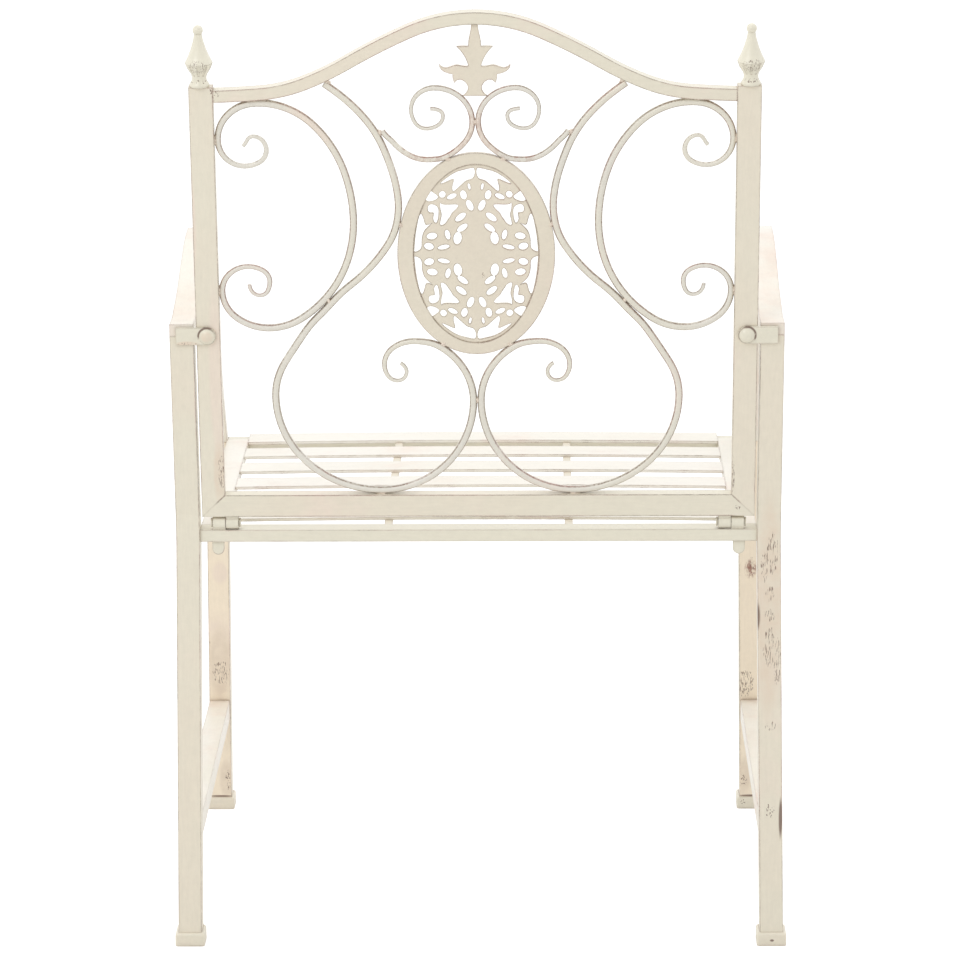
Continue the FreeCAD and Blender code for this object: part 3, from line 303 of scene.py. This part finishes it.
    def losses_and_shadow(self, chips, rubbed_lines):
        """Flakes, dashes and specks down to the bare metal, and arcs and bands of painted shadow in its
        colour.
        """
        seed = self.seed
        flake = self.pattern("flake", 5.0, 0.68, (seed + 1.0, 2.0, seed), self.grain)
        field = self.pattern("field", 3.0, 0.6, (seed + 11.0, 3.0, seed))
        lost = [self.math(
            "MULTIPLY",
            self.ramp(flake, 0.68 - 0.06 * chips, 0.73 - 0.06 * chips),
            self.ramp(field, 0.66 - 0.22 * chips, 0.74 - 0.22 * chips),
        )]
        if dashed := self.spots("dash"):
            strokes = self.pattern("strokes", 2.0, 0.5, (seed, 4.0, seed), (1.2, 1.2, 0.14))
            lost.append(self.scatter(dashed, strokes))
        if specked := self.spots("speck"):
            dots = self.pattern("dots", 2.0, 0.5, (seed, 6.0, seed), (1.0, 1.0, 0.7))
            lost.append(self.scatter(specked, dots))
        if bare_and_shadow_spots := self.spots("bare"):
            lost.append(bare_and_shadow_spots)
        for kind, centre, (radius, side_x, side_z) in self.marks:
            if kind == "arc":
                curve = self.arc(self.place, centre, radius, (side_x, 0.0, side_z))
                lost.append(self.math("MULTIPLY", curve, self.ramp(self.mottle, 0.3, 0.45)))
        if rubbed_lines:
            grit = self.pattern("grit", 2.0, 0.5, (seed, 7.0, seed))
            crumbs = self.math("MULTIPLY", rubbed_lines, self.ramp(grit, 0.5, 0.6))
            lost.append(self.math("MULTIPLY", crumbs, CRUMB_COVER))
        return self.most(lost)

    def colour(self, body, rub, corner, bare, sides):
        """The cream with its wear, stains, rust and dirt, painted shade in corners and painted shadows."""
        seed = self.seed
        under = self.mix(self.ramp(self.blush, 0.42, 0.6), GRIME, PRIMER)
        colour = self.mix(self.math("MULTIPLY", rub, RUB_COVER), body, under)
        if stained := self.spots("stain"):
            blot = self.ramp(self.pattern("blot", 4.0, 0.6, (seed, 8.0, seed)), 0.3, 0.7, 0.45, 1.0)
            colour = self.mix(self.math("MULTIPLY", stained, blot), colour, STAIN)
        if rusted := self.spots("rust"):
            crust = self.pattern("crust", 5.0, 0.7, (seed, 9.0, seed), (1.0, 1.0, 0.6))
            rusted = self.math("MULTIPLY", rusted, self.ramp(crust, 0.44, 0.6))
            if sides:
                rusted = self.math("MULTIPLY", rusted, self.ramp(sides, 0.0, 1.0, 0.3, 1.0))
            colour = self.mix(rusted, colour, RUST)
        deep = self.math("MULTIPLY", self.ramp(rub, 0.55, 0.95), self.ramp(self.mottle, 0.45, 0.6))
        colour = self.mix(self.math("MULTIPLY", deep, DEEP_COVER), colour, BARE_AND_SHADOW)
        # Dirt and painted shade in corners and joints, darker where other surfaces are near
        colour = self.mix(self.math("MULTIPLY", corner, DIRT_AND_SHADE_COVER), colour, DIRT_AND_SHADE)
        # The losses also carry painted shadow: the arcs round the bolt heads and the thin bands at the tops
        # of the front feet
        return self.mix(self.math("MULTIPLY", bare, BARE_AND_SHADOW_COVER), colour, BARE_AND_SHADOW)

    def surface(self, colour, rub, bare):
        """The gloss and relief of that colour, as the material's output."""
        lost = self.math("MAXIMUM", self.math("MULTIPLY", rub, 0.5), bare)
        roughness = self.ramp(self.brush, 0.2, 0.8, 0.34, 0.48)
        roughness = self.math("ADD", roughness, self.math("MULTIPLY", lost, 0.25))
        strokes = self.math("MULTIPLY", self.brush, 0.35)
        height = self.math("ADD", strokes, self.math("MULTIPLY", self.mottle, 0.5))
        height = self.math("SUBTRACT", height, self.math("MULTIPLY", lost, 0.8))
        soft = self.add("ShaderNodeBevel", {"Radius": SOFT_REACH}, samples=SOFT_SAMPLES).outputs["Normal"]
        relief = {"Strength": RELIEF_STRENGTH, "Distance": RELIEF_DEPTH, "Height": height, "Normal": soft}
        bump = self.add("ShaderNodeBump", relief)
        shader = self.add("ShaderNodeBsdfPrincipled", {
            "Base Color": colour,
            "Roughness": roughness,
            "Normal": bump.outputs["Normal"],
            "Coat Weight": COAT_WEIGHT,
            "Coat Roughness": COAT_ROUGHNESS,
        })
        self.add("ShaderNodeOutputMaterial", {"Surface": shader.outputs["BSDF"]})


def paint(name, grain, base=CREAM, *, wear, pink, seed, own=0.3, chips=0.0, lines=0.0, seam=0.6, marks=(),
          tan_and_painted_light=None):
    """A paint's material.

    grain is how the brush marks stretch, base the paint's own cream and own its least share. wear says how
    far edges are rubbed, pink the share of pinkish paint, chips how many flakes are off, lines how much of a
    round bar's sides is rubbed, and seam how strong the dirt and painted shade in corners are. marks are the
    single worn places and the painted shadows, and aged is the tan of the sides that face the back, partly
    the legs' own tan and partly painted light that lifts these dimmer sides.
    """
    coat = Paint(name, grain, seed, marks)
    body = coat.body(base, own, pink, tan_and_painted_light)
    rub = coat.edges(wear)
    sides = rubbed_lines = None
    if lines:
        sides = coat.bar_sides()
        rubbed_lines = coat.bar_lines(sides, lines)
        line = coat.math("MULTIPLY", rubbed_lines, coat.ramp(coat.flecks, 0.38, 0.56, 0.5, 1.0))
        rub = coat.most((rub, line))
    if coat.sound:
        rub = coat.math("MULTIPLY", rub, coat.sound)
    corner = coat.corners(seam)
    bare = coat.losses_and_shadow(chips, rubbed_lines)
    coat.surface(coat.colour(body, rub, corner, bare, sides), rub, bare)
    return coat.material


UPRIGHT_GRAIN = (1.0, 1.0, 0.14)
CROSS_GRAIN = (0.14, 1.0, 1.0)
DEPTH_GRAIN = (1.0, 0.14, 1.0)
FINE_GRAIN = (0.7, 0.7, 0.7)

# Single marked places: the kind, the centre and the reach in metres. Most are worn places, stains, rust and
# calm places; the arcs and the thin bands at the feet are painted shadow. In place of a reach, an arc has
# its radius and the direction, along x and z, of the side that it lies on.
REAR_LEG_MARKS = (
    ("dash", (-0.2880, 0.203, 0.402), (0.006, 0.008, 0.020)),
    ("dash", (-0.2950, 0.203, 0.415), (0.007, 0.008, 0.030)),
    ("dash", (-0.2930, 0.203, 0.374), (0.006, 0.008, 0.010)),
    ("dash", (-0.2930, 0.203, 0.352), (0.007, 0.008, 0.008)),
    ("dash", (-0.2925, 0.203, 0.318), (0.007, 0.008, 0.028)),
    ("dash", (-0.3010, 0.203, 0.304), (0.005, 0.008, 0.034)),
    ("dash", (-0.2944, 0.203, 0.235), (0.009, 0.008, 0.006)),
    ("speck", (-0.2954, 0.203, 0.145), (0.006, 0.006, 0.010)),
    ("bare", (-0.2800, 0.203, 0.350), (0.0034, 0.010, 0.016)),
    ("bare", (-0.3062, 0.203, 0.137), (0.0020, 0.010, 0.022)),
    ("stain", (-0.2921, 0.203, 0.36), (0.014, 0.010, 0.12)),
    ("edge", (-0.3040, 0.203, 0.150), (0.004, 0.010, 0.04)),
    ("edge", (-0.2815, 0.203, 0.38), (0.004, 0.010, 0.06)),
)
FRONT_LEG_MARKS = (
    ("stain", (-0.2939, -0.208, 0.287), (0.005, 0.010, 0.008)),
    ("rust", (-0.2945, -0.208, 0.288), (0.007, 0.010, 0.011)),
    ("dash", (-0.2950, -0.208, 0.290), (0.004, 0.010, 0.016)),
    ("stain", (-0.2916, -0.236, 0.040), (0.009, 0.012, 0.022)),
    ("speck", (-0.2905, -0.236, 0.034), (0.005, 0.010, 0.012)),
    ("dash", (-0.2915, -0.224, 0.152), (0.011, 0.012, 0.020)),
    ("speck", (-0.2883, -0.224, 0.143), (0.008, 0.010, 0.010)),
    ("stain", (0.2942, -0.221, 0.175), (0.014, 0.015, 0.050)),
    ("dash", (0.2942, -0.221, 0.165), (0.012, 0.012, 0.020)),
    ("bloom", (0.2919, -0.208, 0.284), (0.009, 0.010, 0.014)),
    ("stain", (0.2919, -0.236, 0.036), (0.008, 0.012, 0.024)),
    ("speck", (0.2900, -0.236, 0.034), (0.004, 0.010, 0.016)),
    # Painted shadow: two thin dark bands where the top of each front foot meets its leg
    ("bare", (0.2984, -0.238, 0.0150), (0.014, 0.004, 0.0012)),
    ("bare", (-0.2984, -0.238, 0.0150), (0.014, 0.004, 0.0012)),
)
FOOT_MARKS = (
    ("bare", (-0.2988, 0.206, 0.006), (0.0022, 0.004, 0.0014)),
    ("speck", (-0.2900, -0.238, 0.008), (0.004, 0.010, 0.005)),
)
UPRIGHT_MARKS = (
    ("calm", (0.2665, 0.203, 0.4590), (0.013, 0.020, 0.0125)),
    ("calm", (-0.2665, 0.203, 0.4590), (0.013, 0.020, 0.0125)),
    ("dash", (0.2560, 0.207, 0.503), (0.0040, 0.012, 0.026)),
    ("stain", (0.2580, 0.207, 0.503), (0.0060, 0.012, 0.036)),
    ("bloom", (0.2575, 0.222, 0.600), (0.008, 0.030, 0.110)),
    ("bloom", (0.2770, 0.240, 0.760), (0.004, 0.020, 0.050)),
    ("speck", (0.2536, 0.256, 0.892), (0.004, 0.010, 0.009)),
    ("edge", (0.2770, 0.230, 0.700), (0.006, 0.040, 0.180)),
    ("dash", (-0.2545, 0.208, 0.500), (0.002, 0.012, 0.024)),
)
BACK_RAIL_MARKS = (
    ("calm", (0.2665, 0.203, 0.4590), (0.013, 0.020, 0.0125)),
    ("calm", (-0.2665, 0.203, 0.4590), (0.013, 0.020, 0.0125)),
    ("edge", (0.2100, 0.256, 0.903), (0.055, 0.020, 0.016)),
    ("edge", (0.0900, 0.260, 0.945), (0.050, 0.020, 0.020)),
    ("edge", (0.0600, 0.205, 0.478), (0.210, 0.012, 0.006)),
    ("speck", (0.2500, 0.256, 0.892), (0.004, 0.010, 0.009)),
    ("edge", (0.0000, 0.262, 0.962), (0.080, 0.020, 0.016)),
    ("edge", (0.1500, 0.260, 0.478), (0.110, 0.100, 0.010)),
    ("speck", (-0.2600, 0.204, 0.464), (0.005, 0.010, 0.003)),
)
HARDWARE_MARKS = (
    # Painted shadow: a dark arc round the upper side of each bolt head, broken up like flaked paint
    ("arc", (0.2658, 0.232, 0.6453), (0.0086, 0.6, 0.8)),
    ("arc", (-0.2658, 0.232, 0.6453), (0.0086, -0.8, 0.6)),
    ("stain", (0.2658, 0.234, 0.6453), (0.007, 0.010, 0.006)),
    ("stain", (0.2850, 0.229, 0.6375), (0.012, 0.010, 0.0030)),
    ("speck", (0.2850, 0.229, 0.6375), (0.012, 0.010, 0.0020)),
)
FINIAL_MARKS = (
    ("dash", (0.2665, 0.262, 0.917), (0.012, 0.020, 0.008)),
    ("dash", (-0.2665, 0.262, 0.917), (0.012, 0.020, 0.008)),
    ("speck", (0.2665, 0.260, 0.902), (0.011, 0.020, 0.003)),
    ("speck", (-0.2665, 0.260, 0.902), (0.011, 0.020, 0.003)),
)
SCROLL_MARKS = (
    ("calm", (0.2186, 0.247, 0.834), (0.028, 0.020, 0.026)),
    ("calm", (-0.2186, 0.247, 0.834), (0.028, 0.020, 0.026)),
    ("bloom", (0.1579, 0.250, 0.860), (0.030, 0.020, 0.030)),
    ("edge", (0.1400, 0.247, 0.840), (0.035, 0.020, 0.035)),
    ("edge", (0.0051, 0.247, 0.850), (0.022, 0.020, 0.030)),
    ("edge", (-0.0110, 0.247, 0.850), (0.018, 0.020, 0.030)),
    ("bloom", (0.0000, 0.247, 0.845), (0.030, 0.020, 0.030)),
    ("calm", (0.2050, 0.252, 0.887), (0.040, 0.020, 0.006)),
    ("calm", (-0.2050, 0.252, 0.887), (0.040, 0.020, 0.006)),
    ("rust", (0.0000, 0.247, 0.848), (0.018, 0.020, 0.034)),
    ("rust", (0.0400, 0.247, 0.827), (0.044, 0.020, 0.014)),
    ("rust", (-0.0400, 0.247, 0.830), (0.024, 0.020, 0.014)),
)
MEDALLION_MARKS = (
    ("edge", (0.0400, 0.238, 0.745), (0.030, 0.020, 0.040)),
    ("edge", (0.0000, 0.238, 0.690), (0.040, 0.020, 0.014)),
    ("edge", (-0.0400, 0.238, 0.745), (0.030, 0.020, 0.040)),
    ("speck", (-0.0060, 0.238, 0.706), (0.004, 0.020, 0.004)),
    ("speck", (-0.0200, 0.238, 0.668), (0.012, 0.020, 0.004)),
)

FINISHES = {
    "leg_left": paint("leg_left_paint", UPRIGHT_GRAIN, wear=0.9, pink=0.1, seam=0.15, seed=1.0),
    "leg_right": paint(
        "leg_right_paint", UPRIGHT_GRAIN, wear=0.9, chips=0.2, pink=0.4, seam=0.15, seed=2.3,
        marks=REAR_LEG_MARKS,
    ),
    "front_leg": paint(
        "front_leg_paint", UPRIGHT_GRAIN, wear=0.9, chips=0.3, pink=0.4, seam=1.0, seed=3.1,
        marks=FRONT_LEG_MARKS, tan_and_painted_light=TAN,
    ),
    "foot": paint("foot_cap_paint", FINE_GRAIN, wear=0.4, chips=0.1, pink=0.1, seed=4.2, marks=FOOT_MARKS),
    "stretcher": paint(
        "stretcher_paint", DEPTH_GRAIN, PALE, own=0.6, wear=0.4, chips=0.1, pink=0.6, seed=5.7,
    ),
    "arm": paint(
        "arm_paint", DEPTH_GRAIN, PALE, own=0.6, wear=0.4, chips=0.1, pink=0.6, seam=0.3, seed=6.4,
    ),
    "rail": paint("rail_paint", CROSS_GRAIN, GREENISH, wear=0.4, chips=0.1, pink=0.1, seed=7.5),
    "hardware": paint(
        "hardware_paint", FINE_GRAIN, GREENISH, wear=0.5, chips=0.2, pink=0.1, seam=0.45, seed=8.1,
        marks=HARDWARE_MARKS,
    ),
    "slat": paint("slat_paint", CROSS_GRAIN, PALE, own=0.7, wear=0.7, chips=0.1, pink=0.3, seed=9.9),
    "strap": paint("strap_paint", DEPTH_GRAIN, wear=0.4, chips=0.1, pink=0.2, seed=10.4),
    "upright": paint(
        "upright_paint", UPRIGHT_GRAIN, wear=1.0, chips=0.1, pink=0.3, seam=0.15, seed=11.3,
        marks=UPRIGHT_MARKS,
    ),
    "back_rail": paint(
        "back_rail_paint", CROSS_GRAIN, wear=1.2, chips=0.1, pink=0.3, seam=0.15, seed=12.2,
        marks=BACK_RAIL_MARKS,
    ),
    "scroll": paint(
        "scroll_paint", FINE_GRAIN, SILVERY, own=0.5, wear=0.4, chips=0.1, lines=1.4, pink=0.3, seam=0.4,
        seed=13.6, marks=SCROLL_MARKS,
    ),
    "finial": paint(
        "finial_paint", FINE_GRAIN, GREENISH, wear=0.6, chips=0.1, pink=0.1, seam=1.0, seed=14.8,
        marks=FINIAL_MARKS,
    ),
    "medallion": paint(
        "medallion_paint", FINE_GRAIN, MEDAL, own=0.7, wear=0.9, chips=0.1, pink=0.4, seam=1.0,
        seed=15.5, marks=MEDALLION_MARKS,
    ),
    "weld": paint("weld_paint", FINE_GRAIN, wear=1.0, chips=0.8, pink=0.8, seam=1.0, seed=16.1),
}

FINISH_OF = {
    "rear_leg_left": "leg_left",
    "rear_leg_right": "leg_right",
    "front_leg": "front_leg",
    "rear_foot": "foot",
    "front_foot": "foot",
    "side_stretcher": "stretcher",
    "arm_tab": "hardware",
    "arm_bolt": "hardware",
    "arm_": "arm",
    "seat_side_rail": "stretcher",
    "seat_slat": "slat",
    "seat_": "rail",
    "under_strap": "strap",
    "hinge": "hardware",
    "back_upright": "upright",
    "back_": "back_rail",
    "finial": "finial",
    "outer_scroll": "scroll",
    "inner_scroll": "scroll",
    "small_scroll": "scroll",
    "medallion": "medallion",
    "top_ornament": "medallion",
}

for name, item in nodes.items():
    start = next(key for key in FINISH_OF if name.startswith(key))
    finish = FINISHES[FINISH_OF[start]]
    item.data.materials.clear()
    item.data.materials.append(finish)


# Weld beads where the bars meet
def tree_of(name):
    mesh = nodes[name].data
    return BVHTree.FromPolygons([v.co for v in mesh.vertices], [tuple(p.vertices) for p in mesh.polygons])


def meeting(first, second, inside=lambda point: True):
    """The place, within the given part of the back, where one piece comes nearest to another."""
    other = tree_of(second)
    least = math.inf
    for vertex in nodes[first].data.vertices:
        if inside(vertex.co):
            place, _, _, distance = other.find_nearest(vertex.co)
            if distance < least:
                least = distance
                middle = (vertex.co + place) / 2
    return middle


RIPPLE_DEPTH = 0.08
RIPPLES = 9.0
LUMP_DEPTH = 0.28
LUMPS = 1.6


def bead(name, place, along, size, seed):
    """A lump of weld, drawn out along the joint, with ripples across it."""
    mesh = bpy.data.meshes.new(name)
    shape = bmesh.new()
    bmesh.ops.create_icosphere(shape, subdivisions=4, radius=1.0)
    for vertex in shape.verts:
        ripple = RIPPLE_DEPTH * math.sin(vertex.co.x * RIPPLES + seed)
        lump = LUMP_DEPTH * noise.noise(vertex.co * LUMPS + Vector((seed, seed, seed)))
        vertex.co *= 1.0 + ripple + lump
        for axis in range(3):
            vertex.co[axis] *= size[axis]
    shape.to_mesh(mesh)
    shape.free()
    for face in mesh.polygons:
        face.use_smooth = True
    made = bpy.data.objects.new(name, mesh)
    scene.collection.objects.link(made)
    made.rotation_euler = (0.0, -along, 0.0)
    made.location = place
    mesh.materials.append(FINISHES["weld"])
    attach(made, "backrest")


BEAD_STEP = 1.7
LONG_BEAD = (0.0052, 0.0032, 0.0022)
SHORT_BEAD = (0.0032, 0.0030, 0.0024)
JOINTS = (
    ("outer_scroll", "back_upright", "upper", lambda p: p.z > 0.75, 90.0, LONG_BEAD),
    ("outer_scroll", "back_upright", "lower", lambda p: p.z < 0.75, 90.0, LONG_BEAD),
    ("outer_scroll", "back_top_rail", "rail", lambda p: p.z > 0.75, 0.0, LONG_BEAD),
    ("outer_scroll", "inner_scroll", "crossing", lambda p: p.z < 0.8, 60.0, LONG_BEAD),
    ("inner_scroll", "back_top_rail", "rail", lambda p: p.z > 0.75, 35.0, LONG_BEAD),
    ("inner_scroll", "medallion_ring", "ring_side", lambda p: p.z > 0.72, 80.0, SHORT_BEAD),
    ("inner_scroll", "medallion_ring", "ring_bottom", lambda p: p.z < 0.70, 20.0, SHORT_BEAD),
    ("inner_scroll", "back_bottom_rail", "bottom", lambda p: True, 0.0, LONG_BEAD),
    ("small_scroll", "inner_scroll", "start", lambda p: True, 60.0, SHORT_BEAD),
    ("small_scroll", "medallion_ring", "ring_top", lambda p: True, 15.0, SHORT_BEAD),
)

count = 0
for first, second, word, inside, tilt, size in JOINTS:
    for side, sign in (("left", 1), ("right", -1)):
        other = second if second in nodes else f"{second}_{side}"
        place = meeting(f"{first}_{side}", other, inside)
        count += 1
        bead(f"weld_{first}_{word}_{side}", place, math.radians(tilt) * sign, size, BEAD_STEP * count)
for first, second, word, inside in (
    ("small_scroll_left", "small_scroll_right", "small_pair", lambda p: True),
    ("inner_scroll_left", "inner_scroll_right", "inner_pair", lambda p: p.z < 0.7),
):
    count += 1
    bead(f"weld_{word}", meeting(first, second, inside), math.radians(90.0), SHORT_BEAD, BEAD_STEP * count)


# Plates in the open tops of the front legs
TUBE_WALL = 0.0015
PLATE_THICKNESS = 0.0014
PLATE_DEPTH = 0.0002
PLATE_PLAY = 0.0001
SAME_LEVEL = 0.0005


def leg_plate(side):
    """A thin plate just inside the top of a front leg, where the arm's foot leaves the tube open."""
    points = [vertex.co for vertex in nodes[f"front_leg_{side}"].data.vertices]
    top = max(point.z for point in points)
    rim = [point for point in points if point.z > top - SAME_LEVEL]
    inset = Vector((TUBE_WALL, TUBE_WALL, 0.0))
    low = Vector((min(p.x for p in rim), min(p.y for p in rim), top - PLATE_DEPTH - PLATE_THICKNESS)) + inset
    high = Vector((max(p.x for p in rim), max(p.y for p in rim), top - PLATE_DEPTH)) - inset
    mesh = bpy.data.meshes.new(f"front_leg_plate_{side}")
    shape = bmesh.new()
    bmesh.ops.create_cube(shape, size=1.0)
    for vertex in shape.verts:
        for axis in range(3):
            vertex.co[axis] *= high[axis] - low[axis] - PLATE_PLAY
    shape.to_mesh(mesh)
    shape.free()
    made = bpy.data.objects.new(mesh.name, mesh)
    scene.collection.objects.link(made)
    made.location = (low + high) / 2
    mesh.materials.append(FINISHES["front_leg"])
    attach(made, "root")


leg_plate("left")
leg_plate("right")


# Floor, light and camera
FLOOR_TINT = (0.82, 0.81, 0.79, 1.0)
FLOOR_SHOWN = (0.48, 0.48, 0.48, 1.0)
FLOOR_GLOW = 0.7
WHITE = (1.0, 1.0, 1.0, 1.0)
HALF_FLOOR = 9.0


def floor_material():
    """Pale floor that reads white to the camera and still takes the chair's soft shadow."""
    material = bpy.data.materials.new("floor_white")
    material.use_nodes = True
    tree = Tree(material.node_tree)
    material.node_tree.nodes.clear()
    path = tree.add("ShaderNodeLightPath")
    plain = tree.add("ShaderNodeBsdfDiffuse", {"Color": FLOOR_TINT})
    shown = tree.add("ShaderNodeBsdfDiffuse", {"Color": FLOOR_SHOWN})
    glow = tree.add("ShaderNodeEmission", {"Color": WHITE, "Strength": FLOOR_GLOW})
    both = tree.add("ShaderNodeAddShader")
    tree.put(both.inputs[0], shown.outputs[0])
    tree.put(both.inputs[1], glow.outputs[0])
    mixed = tree.add("ShaderNodeMixShader")
    tree.put(mixed.inputs[0], path.outputs["Is Camera Ray"])
    tree.put(mixed.inputs[1], plain.outputs[0])
    tree.put(mixed.inputs[2], both.outputs[0])
    out = tree.add("ShaderNodeOutputMaterial")
    tree.put(out.inputs["Surface"], mixed.outputs[0])
    return material


floor_mesh = bpy.data.meshes.new("floor")
floor_corners = [(x * HALF_FLOOR, y * HALF_FLOOR, 0) for x, y in ((-1, -1), (1, -1), (1, 1), (-1, 1))]
floor_mesh.from_pydata(floor_corners, [], [(0, 1, 2, 3)])
floor = bpy.data.objects.new("floor", floor_mesh)
scene.collection.objects.link(floor)
floor_mesh.materials.append(floor_material())

# Strength of the soft light from beyond the chair, from the camera's side and added from left and right
FAR_LEVEL = 1.08
NEAR_LEVEL = 0.66
SIDE_LEVEL = 0.32

world = bpy.data.worlds.new("studio")
world.use_nodes = True
scene.world = world
sky = Tree(world.node_tree)
world.node_tree.nodes.clear()
path = sky.add("ShaderNodeLightPath")
seen = sky.math("MAXIMUM", path.outputs["Is Camera Ray"], path.outputs["Is Glossy Ray"])
seen = sky.math("MAXIMUM", seen, path.outputs["Is Transmission Ray"])
direction = sky.add("ShaderNodeTexCoord").outputs["Generated"]
front = sky.dot(direction, (0.0, 1.0, 0.0))
ambient = sky.ramp(front, -0.1, 0.9, FAR_LEVEL, NEAR_LEVEL)
sideways = sky.math("ABSOLUTE", sky.dot(direction, (1.0, 0.0, 0.0)))
ambient = sky.math("ADD", ambient, sky.ramp(sideways, 0.5, 1.0, 0.0, SIDE_LEVEL))
level = sky.math("ADD", sky.math("MULTIPLY", seen, sky.math("SUBTRACT", 1.0, ambient)), ambient)
background = sky.add("ShaderNodeBackground", {"Color": WHITE, "Strength": level})
sky_out = sky.add("ShaderNodeOutputWorld")
sky.put(sky_out.inputs["Surface"], background.outputs[0])


def lamp(name, place, target, size, power):
    """A round soft lamp that faces the target."""
    light = bpy.data.lights.new(name, "AREA")
    light.shape = "DISK"
    light.size = size
    light.energy = power
    made = bpy.data.objects.new(name, light)
    scene.collection.objects.link(made)
    made.location = place
    made.rotation_mode = "QUATERNION"
    made.rotation_quaternion = (Vector(target) - Vector(place)).to_track_quat("-Z", "Y")


CHAIR_MIDDLE = (0.0, 0.0, 0.5)
lamp("key_light", (1.6, 2.6, 2.8), CHAIR_MIDDLE, size=1.8, power=24.0)
lamp("top_light", (-0.4, -0.6, 3.2), CHAIR_MIDDLE, size=2.4, power=8.0)


def camera():
    """The camera that took the photograph: place, pitch, yaw, roll and focal length."""
    pitch = math.radians(14.0446)
    yaw = math.radians(0.8035)
    roll = math.radians(-0.3245)
    place = Vector((-0.0595, 4.2973, 1.5168))
    turn = Matrix.Rotation(yaw, 3, "Z")
    forward = turn @ Vector((0.0, -math.cos(pitch), -math.sin(pitch)))
    upright = turn @ Vector((0.0, -math.sin(pitch), math.cos(pitch)))
    across = turn @ Vector((-1.0, 0.0, 0.0))
    right = across * math.cos(roll) + upright * math.sin(roll)
    up = -across * math.sin(roll) + upright * math.cos(roll)
    data = bpy.data.cameras.new("camera")
    focal_pixels = 4225.4
    image_pixels = 960
    data.sensor_width = 36.0
    data.lens = focal_pixels / image_pixels * data.sensor_width
    made = bpy.data.objects.new("camera", data)
    scene.collection.objects.link(made)
    axes = Matrix((right, up, -forward)).transposed()
    made.matrix_world = Matrix.Translation(place) @ axes.to_4x4()
    scene.camera = made


camera()
